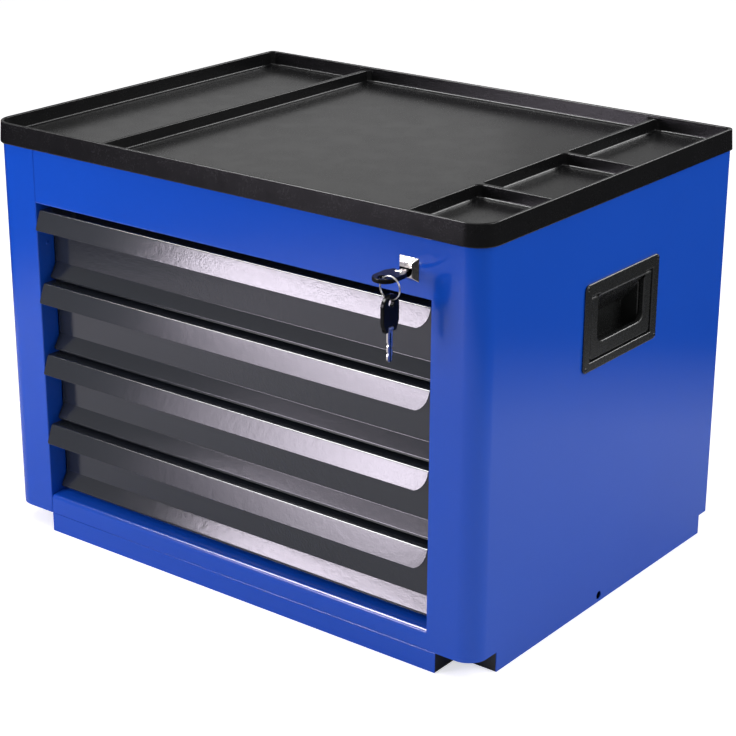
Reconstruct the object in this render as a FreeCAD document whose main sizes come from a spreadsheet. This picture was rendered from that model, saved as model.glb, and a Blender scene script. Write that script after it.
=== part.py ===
import FreeCAD, Part
import math
import os
import re
import Sketcher

Vector = FreeCAD.Vector

# Driving sizes in millimetres and degrees: name, value, meaning
SIZES = (
    ("body_width", 580, "steel body across its side panels"),
    ("body_depth", 420, "steel body from front to back"),
    ("deck_height", 407, "top of the steel body above the floor"),
    ("panel", 1.2, "sheet thickness of the body"),
    ("pillar_width", 52.5, "front pillar from the side panel to the opening"),
    ("corner_radius", 20, "rounded vertical front corners"),
    ("panel_bend", 2, "outside radius of the small folds"),
    ("jamb_depth", 22, "pillar return beside the drawers"),
    ("rear_flange", 15, "side panel fold behind the back panel"),
    ("plinth_height", 20, "plinth below the body"),
    ("plinth_overrun", 10, "front plinth past the opening on the right"),
    ("side_plinth_front", 36, "side plinth set back from the front"),
    ("side_plinth_back", 15, "side plinth set in from the back"),
    ("sill_height", 20, "sill above the plinth"),
    ("sill_depth", 20, "top of the sill from front to back"),
    ("sill_rise", 2, "climb of the sill towards the drawers"),
    ("sill_bend", 5, "rounded front edge of the sill"),
    ("rail_height", 57, "upper rail below the deck"),
    ("rail_return", 18, "folds of the upper rail"),
    ("seam", 0.3, "visible joint between two panels"),
    ("channel_width", 28, "black channels inside the plinth"),
    ("bolt_hole_radius", 4, "hole for bolting to a lower cabinet"),
    ("bolt_hole_height", 7, "height of that hole"),
    ("tray_overhang", 3, "tray past the body on every side"),
    ("tray_skirt", 3, "tray edge below the deck"),
    ("tray_floor", 3, "tray thickness over the deck"),
    ("tray_depth", 15, "tray floor below its rim"),
    ("tray_rim", 3, "width of the rim at its top"),
    ("tray_draft", 4, "slope of the tray walls in degrees"),
    ("tray_back_radius", 6, "rear corners of the tray"),
    ("tray_play", 0.4, "gap between the tray and the body inside it"),
    ("divider", 4, "top width of the dividers"),
    ("divider_drop", 3, "dividers below the rim"),
    ("left_well", 133, "width of the long left compartment"),
    ("right_well", 82, "width of the right compartments"),
    ("front_cup", 110, "front right compartment from front to back"),
    ("middle_cup", 134, "middle right compartment from front to back"),
    ("well_radius", 6, "corners of the compartments"),
    ("sill_gap", 5.5, "lowest drawer above the sill"),
    ("drawer_split", 2.5, "gap between one drawer front and the next"),
    ("rail_gap", 7, "top drawer below the rail"),
    ("front_play", 2, "gap beside a drawer front"),
    ("front_sheet", 1.2, "sheet of a drawer front"),
    ("front_recess", 21, "drawer face behind the front plane"),
    ("slope_rise", 15.5, "height of the lower slope"),
    ("slope_recess", 12.5, "bottom edge behind the front plane"),
    ("hem", 5, "folded bottom edge"),
    ("lip_height", 19, "height of the pull lip"),
    ("lip_top", 3.5, "top of the lip behind the front plane"),
    ("lip_reach", 4, "bottom of the lip ahead of the front plane"),
    ("lip_radius_left", 3, "rounded lower left corner of the lip"),
    ("lip_radius_right", 15, "rounded lower right corner of the lip"),
    ("slope_radius_left", 4, "rounded lower left corner of the slope"),
    ("slope_radius_right", 10, "rounded lower right corner of the slope"),
    ("box_sheet", 1, "sheet of a drawer box"),
    ("box_rise", 6, "box floor above the bottom edge"),
    ("box_drop", 6.5, "box walls below the top of the front"),
    ("box_length", 368, "drawer box from front to back"),
    ("post_inset", 1, "slide posts inside the opening"),
    ("post_sheet", 1.5, "sheet of the slide posts"),
    ("post_length", 20, "post from front to back"),
    ("rear_post", 340, "rear posts behind the front plane"),
    ("slide_gap", 12.7, "thickness of a slide"),
    ("slide_sheet", 1.2, "sheet of the slide members"),
    ("slide_play", 0.3, "running gap between slide members"),
    ("slide_height", 35, "height of a slide"),
    ("slide_drop", 3.25, "slides below the middle of the drawer front"),
    ("slide_length", 350, "length of each slide member"),
    ("slide_setback", 1.5, "slides behind the catches"),
    ("bar_setback", 29.5, "lock bar behind the front plane"),
    ("bar_sheet", 2, "thickness of the lock bar"),
    ("bar_width", 12, "width of the lock bar"),
    ("bar_play", 0.3, "running gap around the lock bar"),
    ("bar_inset", 1, "lock bar outside the edge of the posts"),
    ("bar_start", 60, "lower end of the lock bar above the floor"),
    ("lug_drop", 9.5, "lugs below the top of the front when unlocked"),
    ("lug_height", 5, "height of a lug"),
    ("catch_gap", 1, "catch behind the lock bar"),
    ("catch_sheet", 2, "thickness of a drawer catch"),
    ("catch_width", 7.7, "catch beside the drawer box"),
    ("catch_drop", 12.5, "catches below the top of the front"),
    ("catch_height", 14, "height of the catch"),
    ("guide_height", 10, "height of a bar guide"),
    ("guide_wall", 1.2, "wall of a bar guide"),
    ("lock_side", 75.5, "lock in from the right side panel"),
    ("lock_drop", 33, "lock below the deck"),
    ("plate_width", 21, "square lock plate"),
    ("plate_face", 13, "flat centre of the lock plate"),
    ("plate_rise", 5, "lock plate ahead of the rail"),
    ("plug_sink", 0.3, "lock face behind the face of the plate"),
    ("housing_radius", 6.2, "lock housing"),
    ("housing_length", 24.6, "lock housing from front to back"),
    ("plug_radius", 4.9, "turning plug"),
    ("turn_play", 0.05, "radial running gap of turning pieces"),
    ("plug_end", 0.3, "plug past the back of its housing"),
    ("nut_flats", 18, "lock nut across its flats"),
    ("nut_height", 4, "lock nut thickness"),
    ("cam_radius", 12, "cam disc"),
    ("cam_sheet", 2.2, "cam thickness"),
    ("cam_throw", 8.5, "crank pin from the lock axis"),
    ("cam_pin", 1.5, "crank pin radius"),
    ("slot_play", 0.4, "gap between the crank pin and its slot"),
    ("screw_radius", 1.5, "cam screw shank"),
    ("screw_head", 3, "cam screw head radius"),
    ("screw_reach", 2, "cam screw inside the plug"),
    ("key_width", 6.6, "key blade across"),
    ("key_sheet", 1.8, "key blade thickness"),
    ("key_play", 0.15, "gap around the blade in the keyway"),
    ("key_insert", 20, "blade inside the plug"),
    ("key_gap", 9.5, "fold pin ahead of the plug"),
    ("key_barrel", 2, "eye of the blade around its pin"),
    ("key_pin", 0.7, "fold pin radius"),
    ("bow_length", 33, "plastic head from end to end"),
    ("bow_width", 22, "plastic head across"),
    ("bow_sheet", 4, "plastic head thickness"),
    ("bow_front", 2.5, "head past the fold pin"),
    ("bow_shoulder", 14.5, "head across at the fold pin"),
    ("bow_taper", 8.25, "head widens over this length"),
    ("bow_hole", 3.6, "ring hole radius"),
    ("bow_hole_end", 7.5, "ring hole from the end of the head"),
    ("ring_radius", 10.25, "key ring to the middle of its wire"),
    ("ring_wire", 0.8, "key ring wire radius"),
    ("ring_drop", 6, "ring centre below the key head"),
    ("ring_rest", 0.3, "gap between the ring and the hole it carries"),
    ("ring_offset", 0.4, "ring wire beside the middle of its hole"),
    ("handle_back", 14, "handle behind the middle of the side"),
    ("handle_drop", 117, "middle of the handle below the deck"),
    ("frame_width", 128, "handle frame along the side"),
    ("frame_height", 84, "handle frame upright"),
    ("frame_proud", 2.2, "handle frame outside the panel"),
    ("frame_radius", 5, "corners of the handle frame"),
    ("cup_width", 116, "handle cup along the side"),
    ("cup_height", 69.5, "handle cup upright"),
    ("cup_depth", 26, "handle cup behind the panel"),
    ("cup_wall", 2, "back wall of the cup"),
    ("cup_play", 0.5, "gap around the cup in the panel"),
    ("bail_width", 105, "folding grip along the side"),
    ("bail_arm", 12, "arm of the grip"),
    ("bail_bar", 14, "bar of the grip"),
    ("bail_drop", 57.5, "grip below its pins"),
    ("bail_sheet", 6, "grip thickness"),
    ("bail_recess", 1.2, "grip behind the frame face"),
    ("bail_play", 1.5, "gap around the grip"),
    ("bail_rest", 0.5, "gap behind the grip"),
    ("bail_rise", 25.5, "grip pins above the middle of the frame"),
    ("bail_radius", 9, "inner corners of the grip"),
    ("hinge_pin", 1.5, "grip pin radius"),
    ("pin_cover", 1, "cup wall left outside the grip pins"),
    ("pocket_top", 28.5, "top of the finger pocket above the middle"),
    ("pocket_slope", 31, "height of the slanted pocket roof"),
    ("pocket_floor", 28, "floor of the finger pocket below the middle"),
    ("rivet_radius", 2.2, "rivet heads"),
    ("rivet_rise", 0.9, "height of the rivet heads"),
    ("rivet_inset", 0.3, "handle screws in from the middle of the frame's rim"),
    ("rivet_shank", 1.2, "rivet shanks"),
    ("jamb_rivet_back", 13, "jamb rivet behind the front plane"),
    ("jamb_rivet_rise", 36.5, "jamb rivet above the top drawer's edge"),
)

# Places worked out from the driving sizes
PLACES = {
    "half": "body_width/2",
    "front": "-body_depth/2",
    "back": "body_depth/2",
    "skin_x": "half - panel",
    "skin_front": "front + panel",
    "skin_back": "back - panel",
    "inner_bend": "panel_bend - panel",
    "opening": "half - pillar_width",
    "pan_top": "plinth_height + panel",
    "deck_under": "deck_height - panel",
    "rail_bottom": "deck_height - rail_height",
    "sill_top": "plinth_height + sill_height",
    "side_start": "front + side_plinth_front",
    "side_end": "back - side_plinth_back",
    "rim_top": "deck_height + tray_floor + tray_depth",
    "tray_height": "tray_skirt + tray_floor + tray_depth",
    "tray_slope": "tray_height*tan(tray_draft)",
    "tray_x": "half + tray_overhang - tray_slope",
    "tray_front": "front - tray_overhang + tray_slope",
    "tray_back": "back + tray_overhang - tray_slope",
    "well_left": "-tray_x + tray_rim",
    "well_right": "tray_x - tray_rim",
    "well_front": "tray_front + tray_rim",
    "well_back": "tray_back - tray_rim",
    "first_edge": "sill_top + sill_gap",
    "pitch": "(rail_bottom - rail_gap + drawer_split - first_edge)/4",
    "front_height": "pitch - drawer_split",
    "box_height": "front_height - box_drop - box_rise",
    "slide_rise": "front_height/2 - slide_drop",
    "lug_rise": "front_height - lug_drop",
    "catch_top": "front_height - catch_drop",
    "handle_height": "deck_height - handle_drop",
    "front_x": "opening - front_play",
    "face_back": "front + front_recess + front_sheet",
    "post_x": "opening - post_inset",
    "box_x": "post_x - slide_gap",
    "bar_front": "front + bar_setback",
    "bar_back": "bar_front + bar_sheet",
    "post_front": "bar_back + bar_play",
    "catch_front": "bar_back + catch_gap",
    "slide_front": "catch_front + catch_sheet + slide_setback",
    "slide_back": "slide_front + slide_length",
    "bar_x": "post_x + bar_inset",
    "lock_x": "half - lock_side",
    "lock_z": "deck_height - lock_drop",
    "lock_face": "front - plate_rise + plug_sink",
    "housing_back": "lock_face + housing_length",
    "plug_back": "housing_back + plug_end",
    "cam_back": "plug_back + cam_sheet",
    "crank": "cam_throw*sin(45)",
    "key_axis": "lock_face - key_gap",
    "bow_start": "key_axis + bow_front",
    "ring_y": "bow_start - bow_length + bow_hole_end",
    "ring_x": "lock_x + sqrt(ring_radius^2 - ring_drop^2) - ring_offset",
    "ring_z": "lock_z - ring_drop",
    "wire_z": "ring_z - ring_radius",
    "spare_hole_z": "wire_z - bow_hole + ring_wire + ring_rest",
    "spare_top": "spare_hole_z + bow_hole_end",
    "spare_axis": "spare_top - bow_length + bow_front",
    "bail_axis_x": "half + frame_proud - bail_recess - bail_sheet/2",
    "bail_axis_z": "handle_height + bail_rise",
}

DRAWERS = (1, 2, 3, 4)
SIDES = (("left", -1), ("right", 1))
ALIASES = {name for name, value, note in SIZES}

doc = FreeCAD.newDocument("tool_box")
sheet = doc.addObject("Spreadsheet::Sheet", "Sizes")
for row, (name, value, note) in enumerate(SIZES, start=1):
    sheet.set(f"A{row}", note)
    sheet.set(f"B{row}", str(value))
    sheet.setAlias(f"B{row}", name)
doc.recompute()

nodes = []


def bound(text):
    """Turn size and place names into an expression on the sheet."""
    def swap(match):
        word = match.group(0)
        if word in PLACES:
            return "(" + bound(PLACES[word]) + ")"
        if word in ALIASES:
            return "Sizes." + word
        return word
    return re.sub(r"[a-z_]+[a-z0-9_]*", swap, str(text))


def number(text):
    """Value of an expression on the sheet."""
    value = sheet.evalExpression(bound(text))
    return float(getattr(value, "Value", value))


def bind(piece, **properties):
    for name, text in properties.items():
        piece.setExpression(name, bound(text))


def place(piece, x=0, y=0, z=0):
    """Bind the piece's position and keep its rotation."""
    for axis, text in zip("xyz", (x, y, z)):
        piece.setExpression("Placement.Base." + axis, bound(text))
    return piece


def turn(piece, axis, degrees):
    piece.Placement = FreeCAD.Placement(Vector(), FreeCAD.Rotation(axis, degrees))
    return piece


def box(name, x, y, z):
    """Block between pairs of coordinates."""
    block = doc.addObject("Part::Box", name)
    bind(block, Length=f"({x[1]}) - ({x[0]})", Width=f"({y[1]}) - ({y[0]})", Height=f"({z[1]}) - ({z[0]})")
    return place(block, x[0], y[0], z[0])


def rod(name, radius, axis, start, length):
    """Cylinder from a start point along +X, +Y or +Z."""
    cylinder = doc.addObject("Part::Cylinder", name)
    bind(cylinder, Radius=radius, Height=length)
    if axis == "x":
        turn(cylinder, Vector(0, 1, 0), 90)
    if axis == "y":
        turn(cylinder, Vector(1, 0, 0), -90)
    return place(cylinder, *start)


def join(name, *pieces):
    whole = doc.addObject("Part::MultiFuse", name)
    whole.Shapes = list(pieces)
    return whole


def cut(name, base, *tools):
    """Base with one tool after the other taken away."""
    for index, tool in enumerate(tools, start=1):
        rest = doc.addObject("Part::Cut", f"{name}_{index}")
        rest.Base = base
        rest.Tool = tool
        base = rest
    return base


def group(name, pieces):
    """Identical pieces that stay separate solids in one node."""
    whole = doc.addObject("Part::Compound", name)
    whole.Links = list(pieces)
    return whole


def node(piece, name):
    piece.Label = name
    nodes.append(piece)
    return piece


def span(side, near, far):
    """Pair of coordinates along X, mirrored for the left side."""
    if side > 0:
        return (near, far)
    return (f"-({far})", f"-({near})")


def new_sketch(body, name, role):
    sketch = body.newObject("Sketcher::SketchObject", name)
    plane = [item for item in body.Origin.OriginFeatures if item.Role == role][0]
    sketch.AttachmentSupport = [(plane, "")]
    sketch.MapMode = "FlatFace"
    return sketch


def fix_point(sketch, index, end, u, v):
    """Bind one end of a sketch edge to its coordinates on the sheet."""
    for kind, text in (("DistanceX", u), ("DistanceY", v)):
        datum = Sketcher.Constraint(kind, -1, 1, index, end, number(text))
        sketch.setExpression(f"Constraints[{sketch.addConstraint(datum)}]", bound(text))


def sketch_outline(body, name, role, points):
    """Closed outline with straight edges."""
    sketch = new_sketch(body, name, role)
    corners = [Vector(number(u), number(v), 0) for u, v in points]
    count = len(corners)
    for index in range(count):
        sketch.addGeometry(Part.LineSegment(corners[index], corners[(index + 1) % count]), False)
    for index, (u, v) in enumerate(points):
        sketch.addConstraint(Sketcher.Constraint("Coincident", index, 2, (index + 1) % count, 1))
        fix_point(sketch, index, 1, u, v)
    return sketch


def sketch_rounded(body, name, role, u, v, radii):
    """Rectangle between two pairs of coordinates, with a radius or None for each corner.

    The corners run from low-low through high-low and high-high to low-high.
    """
    sketch = new_sketch(body, name, role)
    places = ((u[0], v[0], 1, 1), (u[1], v[0], -1, 1), (u[1], v[1], -1, -1), (u[0], v[1], 1, -1))
    arrivals = []
    departures = []
    for index, (x, y, across, along) in enumerate(places):
        radius = radii[index] or "0"
        ends = [(f"{x} + {across}*({radius})", y), (x, f"{y} + {along}*({radius})")]
        departures.append(ends[index % 2])
        arrivals.append(ends[1 - index % 2])
    for index in range(4):
        start = Vector(*[number(text) for text in departures[index]], 0)
        stop = Vector(*[number(text) for text in arrivals[(index + 1) % 4]], 0)
        sketch.addGeometry(Part.LineSegment(start, stop), False)
    for index in range(4):
        fix_point(sketch, index, 1, *departures[index])
        following = (index + 1) % 4
        if radii[following]:
            fix_point(sketch, index, 2, *arrivals[following])
        else:
            sketch.addConstraint(Sketcher.Constraint("Coincident", index, 2, following, 1))
    for index, (x, y, across, along) in enumerate(places):
        if not radii[index]:
            continue
        radius = number(radii[index])
        centre = Vector(number(x) + across * radius, number(y) + along * radius, 0)
        start = math.pi * (1 + index / 2)
        circle = Part.Circle(centre, Vector(0, 0, 1), radius)
        arc = sketch.addGeometry(Part.ArcOfCircle(circle, start, start + math.pi / 2), False)
        sketch.addConstraint(Sketcher.Constraint("Coincident", (index - 1) % 4, 2, arc, 1))
        sketch.addConstraint(Sketcher.Constraint("Coincident", arc, 2, index, 1))
        datum = Sketcher.Constraint("Radius", arc, radius)
        sketch.setExpression(f"Constraints[{sketch.addConstraint(datum)}]", bound(radii[index]))
    return sketch


def padded(name, make_sketch, length, draft=None, downward=False):
    """PartDesign body with one padded sketch."""
    body = doc.addObject("PartDesign::Body", name)
    pad = body.newObject("PartDesign::Pad", name + "_pad")
    pad.Profile = make_sketch(body, name + "_outline")
    pad.Reversed = downward
    bind(pad, Length=length)
    if draft:
        bind(pad, TaperAngle=draft)
    return body


def prism(name, role, points, length):
    return padded(name, lambda body, label: sketch_outline(body, label, role, points), length)


def rounded_block(name, role, u, v, radii, length, draft=None, downward=False):
    def outline(body, label):
        return sketch_rounded(body, label, role, u, v, radii)
    return padded(name, outline, length, draft, downward)


def bend_path(points, radii, offset):
    """Edges of a bent line, shifted to its left by the offset."""
    corners = [Vector(u, v, 0) for u, v in points]
    headings = [(b - a).normalize() for a, b in zip(corners, corners[1:])]
    lefts = [Vector(-heading.y, heading.x, 0) for heading in headings]
    edges = []
    start = corners[0] + lefts[0] * offset
    for index, radius in enumerate(radii, start=1):
        before, after = headings[index - 1], headings[index]
        turned = math.atan2(before.cross(after).z, before.dot(after))
        trim = radius * math.tan(abs(turned) / 2)
        side = math.copysign(1, turned)
        centre = corners[index] - before * trim + lefts[index - 1] * side * radius
        reach = radius - side * offset
        first = centre - lefts[index - 1] * side * reach
        last = centre - lefts[index] * side * reach
        middle = centre + (corners[index] - centre).normalize() * reach
        edges.append(Part.LineSegment(start, first).toShape())
        edges.append(Part.Arc(first, middle, last).toShape())
        start = last
    edges.append(Part.LineSegment(start, corners[-1] + lefts[-1] * offset).toShape())
    return edges


def folded(name, plane, points, radii, thickness, low, high):
    """Sheet bent along a path and as long as the low and high coordinates say.

    The path is the sheet's face, and the sheet lies to its left. The plane is
    xy, with the length along Z, or yz, with the length along X.
    """
    path = [(number(u), number(v)) for u, v in points]
    bends = [number(radius) for radius in radii]
    near = bend_path(path, bends, 0)
    far = bend_path(path, bends, number(thickness))
    caps = [
        Part.LineSegment(near[0].Vertexes[0].Point, far[0].Vertexes[0].Point).toShape(),
        Part.LineSegment(near[-1].Vertexes[-1].Point, far[-1].Vertexes[-1].Point).toShape(),
    ]
    section = Part.Face(Part.Wire(Part.__sortEdges__(near + far + caps)))
    start, stop = number(low), number(high)
    solid = section.extrude(Vector(0, 0, stop - start))
    solid.translate(Vector(0, 0, start))
    if plane == "yz":
        to_side = FreeCAD.Matrix()
        to_side.A11, to_side.A12, to_side.A13 = 0, 0, 1
        to_side.A21, to_side.A22, to_side.A23 = 1, 0, 0
        to_side.A31, to_side.A32, to_side.A33 = 0, 1, 0
        solid = solid.transformed(to_side)
    piece = doc.addObject("Part::Feature", name)
    piece.Shape = solid
    return piece


def mirrored_path(side, points):
    """Path for the right side, or the same one mirrored and reversed for the left."""
    if side > 0:
        return points
    return tuple((f"-({u})", v) for u, v in reversed(points))


def side_panel(word, side):
    """Pillar, rounded corner, side and rear fold bent from one sheet."""
    path = mirrored_path(side, (
        ("opening", "front + jamb_depth"),
        ("opening", "front"),
        ("half", "front"),
        ("half", "back"),
        ("half - rear_flange", "back"),
    ))
    radii = ("panel_bend", "corner_radius", "panel_bend")
    radii = radii if side > 0 else radii[::-1]
    wrap = folded(f"{word}_wrap", "xy", path, radii, "panel", "0", "deck_height")
    across = span(side, "opening - 1", "half + 1")
    below = ("-1", "plinth_height")
    near_side = span(side, "half - 2*panel", "half + 1")
    middle = "handle_back"
    cutters = [
        box(f"{word}_front_notch", across, ("front - 1", "side_start"), below),
        box(f"{word}_back_notch", across, ("side_end", "back + 1"), below),
        box(
            f"{word}_cup_hole",
            near_side,
            (f"{middle} - cup_width/2 - cup_play", f"{middle} + cup_width/2 + cup_play"),
            ("handle_height - cup_height/2 - cup_play", "handle_height + cup_height/2 + cup_play"),
        ),
        rod(
            f"{word}_bolt_hole",
            "bolt_hole_radius",
            "x",
            (near_side[0], "0", "bolt_hole_height"),
            "2*panel + 1",
        ),
    ]
    cutters += screw_spots(word + "_panel_hole", side, "rivet_shank", near_side[0], "2*panel + 1")
    cutters += rear_rivets(word + "_fold_hole", side, "rivet_shank", "skin_back - panel", "3*panel")
    return_x = span(side, "opening - 1", "opening + 2*panel_bend")
    return_y = ("skin_front", "front + jamb_depth + 1")
    cutters.append(box(f"{word}_return_top", return_x, return_y, ("deck_under", "deck_height + 1")))
    cutters.append(box(f"{word}_return_foot", return_x, return_y, ("plinth_height - 1", "pan_top")))
    node(cut(f"{word}_panel_cut", wrap, *cutters), f"{word}_side_panel")


def screw_spots(name, side, radius, start, length):
    """One cylinder at each corner of a handle frame."""
    spots = []
    inset_y = "(frame_width + cup_width)/4 - rivet_inset"
    inset_z = "(frame_height + cup_height)/4"
    for index, (ahead, above) in enumerate(((-1, -1), (1, -1), (1, 1), (-1, 1)), start=1):
        spot = (start, f"handle_back + {ahead}*({inset_y})", f"handle_height + {above}*({inset_z})")
        spots.append(rod(f"{name}_{index}", radius, "x", spot, length))
    return spots


def shell():
    """Panels of the steel body."""
    for word, side in SIDES:
        side_panel(word, side)

    inner_corner = "corner_radius - panel"
    corners = (inner_corner, inner_corner, "inner_bend", "inner_bend")
    for name, level in (("deck_panel", "deck_under"), ("base_pan", "plinth_height")):
        x = ("-skin_x", "skin_x")
        y = ("skin_front", "skin_back")
        body = rounded_block(name + "_body", "XY_Plane", x, y, corners, "panel")
        node(place(body, z=level), name)

    back_x = ("inner_bend - skin_x", "skin_x - inner_bend")
    back = box("back_sheet", back_x, ("skin_back - panel", "skin_back"), ("pan_top", "deck_under"))
    holes = []
    for word, side in SIDES:
        holes += rear_rivets(f"back_hole_{word}", side, "rivet_shank", "skin_back - 2*panel", "3*panel")
    node(cut("back_sheet_cut", back, *holes), "back_panel")

    rail_path = (
        ("front + rail_return", "deck_under"),
        ("front", "deck_under"),
        ("front", "rail_bottom"),
        ("front + rail_return", "rail_bottom"),
    )
    bends = ("panel_bend", "panel_bend")
    rail = folded("rail_sheet", "yz", rail_path, bends, "panel", "seam - opening", "opening")
    hole_start = ("lock_x", "front - panel", "lock_z")
    lock_hole = rod("rail_lock_hole", "housing_radius + turn_play", "y", hole_start, "3*panel")
    node(cut("rail_cut", rail, lock_hole), "upper_front_rail")

    sill_path = (
        ("front + sill_depth", "sill_top + sill_rise"),
        ("front", "sill_top"),
        ("front", "plinth_height + seam"),
    )
    sill = folded("sill_sheet", "yz", sill_path, ("sill_bend",), "panel", "seam - opening", "opening")
    node(sill, "sill_rail")

    reach = ("-opening", "opening + plinth_overrun")
    node(box("plinth_sheet", reach, ("front", "skin_front"), ("0", "plinth_height")), "front_plinth")


def rear_rivets(name, side, radius, start, length):
    """Cylinders along the rear fold of one side."""
    spots = []
    for index in (1, 2, 3):
        across = f"{side}*(half - rear_flange/2 - panel/2)"
        level = f"deck_height*{index}/4 + plinth_height/2"
        spots.append(rod(f"{name}_{index}", radius, "y", (across, start, level), length))
    return spots


def channels():
    """Black channels that stiffen the plinth and carry the pan."""
    wall = "panel"
    front_x = ("seam - opening", "opening + plinth_overrun - seam")
    side_y = ("side_start + seam", "side_end - seam")
    plans = {
        "front": (front_x, ("skin_front", "skin_front + channel_width")),
        "left": (span(-1, "skin_x - channel_width", "skin_x"), side_y),
        "right": (span(1, "skin_x - channel_width", "skin_x"), side_y),
    }
    for word, (x, y) in plans.items():
        outer = box(f"{word}_channel", x, y, ("0", "plinth_height"))
        hollow = box(
            f"{word}_channel_hollow",
            (f"{x[0]} + {wall}", f"{x[1]} - {wall}"),
            (f"{y[0]} + {wall}", f"{y[1]} - {wall}"),
            (wall, "plinth_height + 1"),
        )
        tools = [hollow]
        if word != "front":
            side = -1 if word == "left" else 1
            start = span(side, "skin_x - 1.5*panel", "skin_x + 1")[0]
            spot = (start, "0", "bolt_hole_height")
            tools.append(rod(f"{word}_channel_hole", "bolt_hole_radius", "x", spot, "1.5*panel + 1"))
        node(cut(f"{word}_channel_cut", outer, *tools), f"{word}_foot_channel")


def tray():
    """Moulded tray that covers the deck."""
    def block(name, x, y, level, height, draft, radii):
        body = rounded_block(f"tray_{name}", "XY_Plane", x, y, radii, height, draft, True)
        return place(body, z=level)

    outer = "corner_radius + tray_overhang - tray_slope"
    inner = "corner_radius + tray_overhang - tray_slope - tray_rim"
    tight = "well_radius"
    rim_x = ("-tray_x", "tray_x")
    rim_y = ("tray_front", "tray_back")
    radii = (outer, outer, "tray_back_radius", "tray_back_radius")
    whole = block("block", rim_x, rim_y, "rim_top", "tray_height", "tray_draft", radii)

    whole_y = ("well_front", "well_back")
    left_end = "well_left + left_well"
    right_x = ("well_right - right_well", "well_right")
    main_x = (f"{left_end} + divider", f"{right_x[0]} - divider")
    front_cup_y = ("well_front", "well_front + front_cup")
    middle_start = f"{front_cup_y[1]} + divider"
    rear_start = f"{middle_start} + middle_cup + divider"
    wells = (
        ("mouth", ("well_left", "well_right"), whole_y, "divider_drop", (inner, inner, tight, tight)),
        ("left", ("well_left", left_end), whole_y, "tray_depth", (inner, tight, tight, tight)),
        ("main", main_x, whole_y, "tray_depth", (tight,) * 4),
        ("front_cup", right_x, front_cup_y, "tray_depth", (tight, inner, tight, tight)),
        ("middle_cup", right_x, (middle_start, f"{middle_start} + middle_cup"), "tray_depth", (tight,) * 4),
        ("rear_cup", right_x, (rear_start, "well_back"), "tray_depth", (tight,) * 4),
    )
    tools = []
    for name, x, y, depth, radii in wells:
        tools.append(block(name, x, y, "rim_top", depth, "-tray_draft", radii))

    gap_x = "half + tray_play"
    nest_y = ("front - tray_play", "back + tray_play")
    seat = "corner_radius + tray_play"
    nest_x = (f"-({gap_x})", gap_x)
    nest = block("nest", nest_x, nest_y, "deck_height", "tray_skirt + 1", None, (seat, seat, None, None))
    node(cut("tray_cut", whole, nest, *tools), "top_tray")


def slides():
    """Posts and telescopic slides on both sides of the drawers."""
    posts = []
    fixed = []
    for word, side in SIDES:
        for place_word, start in (("front", "post_front"), ("rear", "front + rear_post")):
            y = (start, f"{start} + post_length")
            z = ("pan_top", "deck_under")
            post = box(f"{word}_{place_word}_post", span(side, "post_x", "skin_x"), y, z)
            hollow = box(
                f"{word}_{place_word}_post_hollow",
                span(side, "post_x + post_sheet", "skin_x + 1"),
                (f"{y[0]} + post_sheet", f"{y[1]} - post_sheet"),
                (f"{z[0]} - 1", f"{z[1]} + 1"),
            )
            posts.append(cut(f"{word}_{place_word}_post_cut", post, hollow))
    node(group("posts", posts), "slide_posts")

    step = "(slide_sheet + slide_play)"
    for drawer in DRAWERS:
        middle = f"first_edge + {drawer - 1}*pitch + slide_rise"
        travelling = []
        carried = []
        for word, side in SIDES:
            name = f"{word}_{drawer}"
            outer_x = ("post_x - slide_gap + slide_sheet + slide_play", "post_x")
            fixed.append(channel(f"outer_{name}", side, outer_x, "slide_height/2", middle, False))
            middle_x = (outer_x[0], f"post_x - {step}")
            middle_half = f"slide_height/2 - {step}"
            travelling.append(channel(f"middle_{name}", side, middle_x, middle_half, middle, False))
            inner_x = ("box_x", f"post_x - 2*{step}")
            inner_half = f"slide_height/2 - 2*{step}"
            carried.append(channel(f"inner_{name}", side, inner_x, inner_half, middle, True))
        node(group(f"middles_{drawer}", travelling), f"drawer_{drawer}_middle_slides")
        node(group(f"inners_{drawer}", carried), f"drawer_{drawer}_inner_slides")
    node(group("outers", fixed), "slide_outer_members")


def channel(name, side, x, half_height, middle, open_outward):
    """Slide member: a web with two flanges, open towards one side."""
    web = "slide_sheet"
    hollow_x = (f"{x[0]} - 1", f"{x[1]} - {web}")
    if open_outward:
        hollow_x = (f"{x[0]} + {web}", f"{x[1]} + 1")
    y = ("slide_front", "slide_back")
    z = (f"{middle} - ({half_height})", f"{middle} + {half_height}")
    member = box(name, span(side, *x), y, z)
    hollow = box(
        name + "_hollow",
        span(side, *hollow_x),
        (f"{y[0]} - 1", f"{y[1]} + 1"),
        (f"{middle} - ({half_height} - {web})", f"{middle} + {half_height} - {web}"),
    )
    return cut(name + "_cut", member, hollow)


def corner_tool(name, side, radius, y, low):
    """Material outside a rounded lower corner."""
    centre = (f"front_x - {radius}", f"{low} + {radius}")
    block = box(name, span(side, centre[0], "front_x + 1"), y, (f"{low} - 1", centre[1]))
    across = centre[0] if side > 0 else f"-({centre[0]})"
    disc = rod(name + "_disc", radius, "y", (across, f"{y[0]} - 1", centre[1]), f"{y[1]} - ({y[0]}) + 2")
    return cut(name + "_cut", block, disc)


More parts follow.
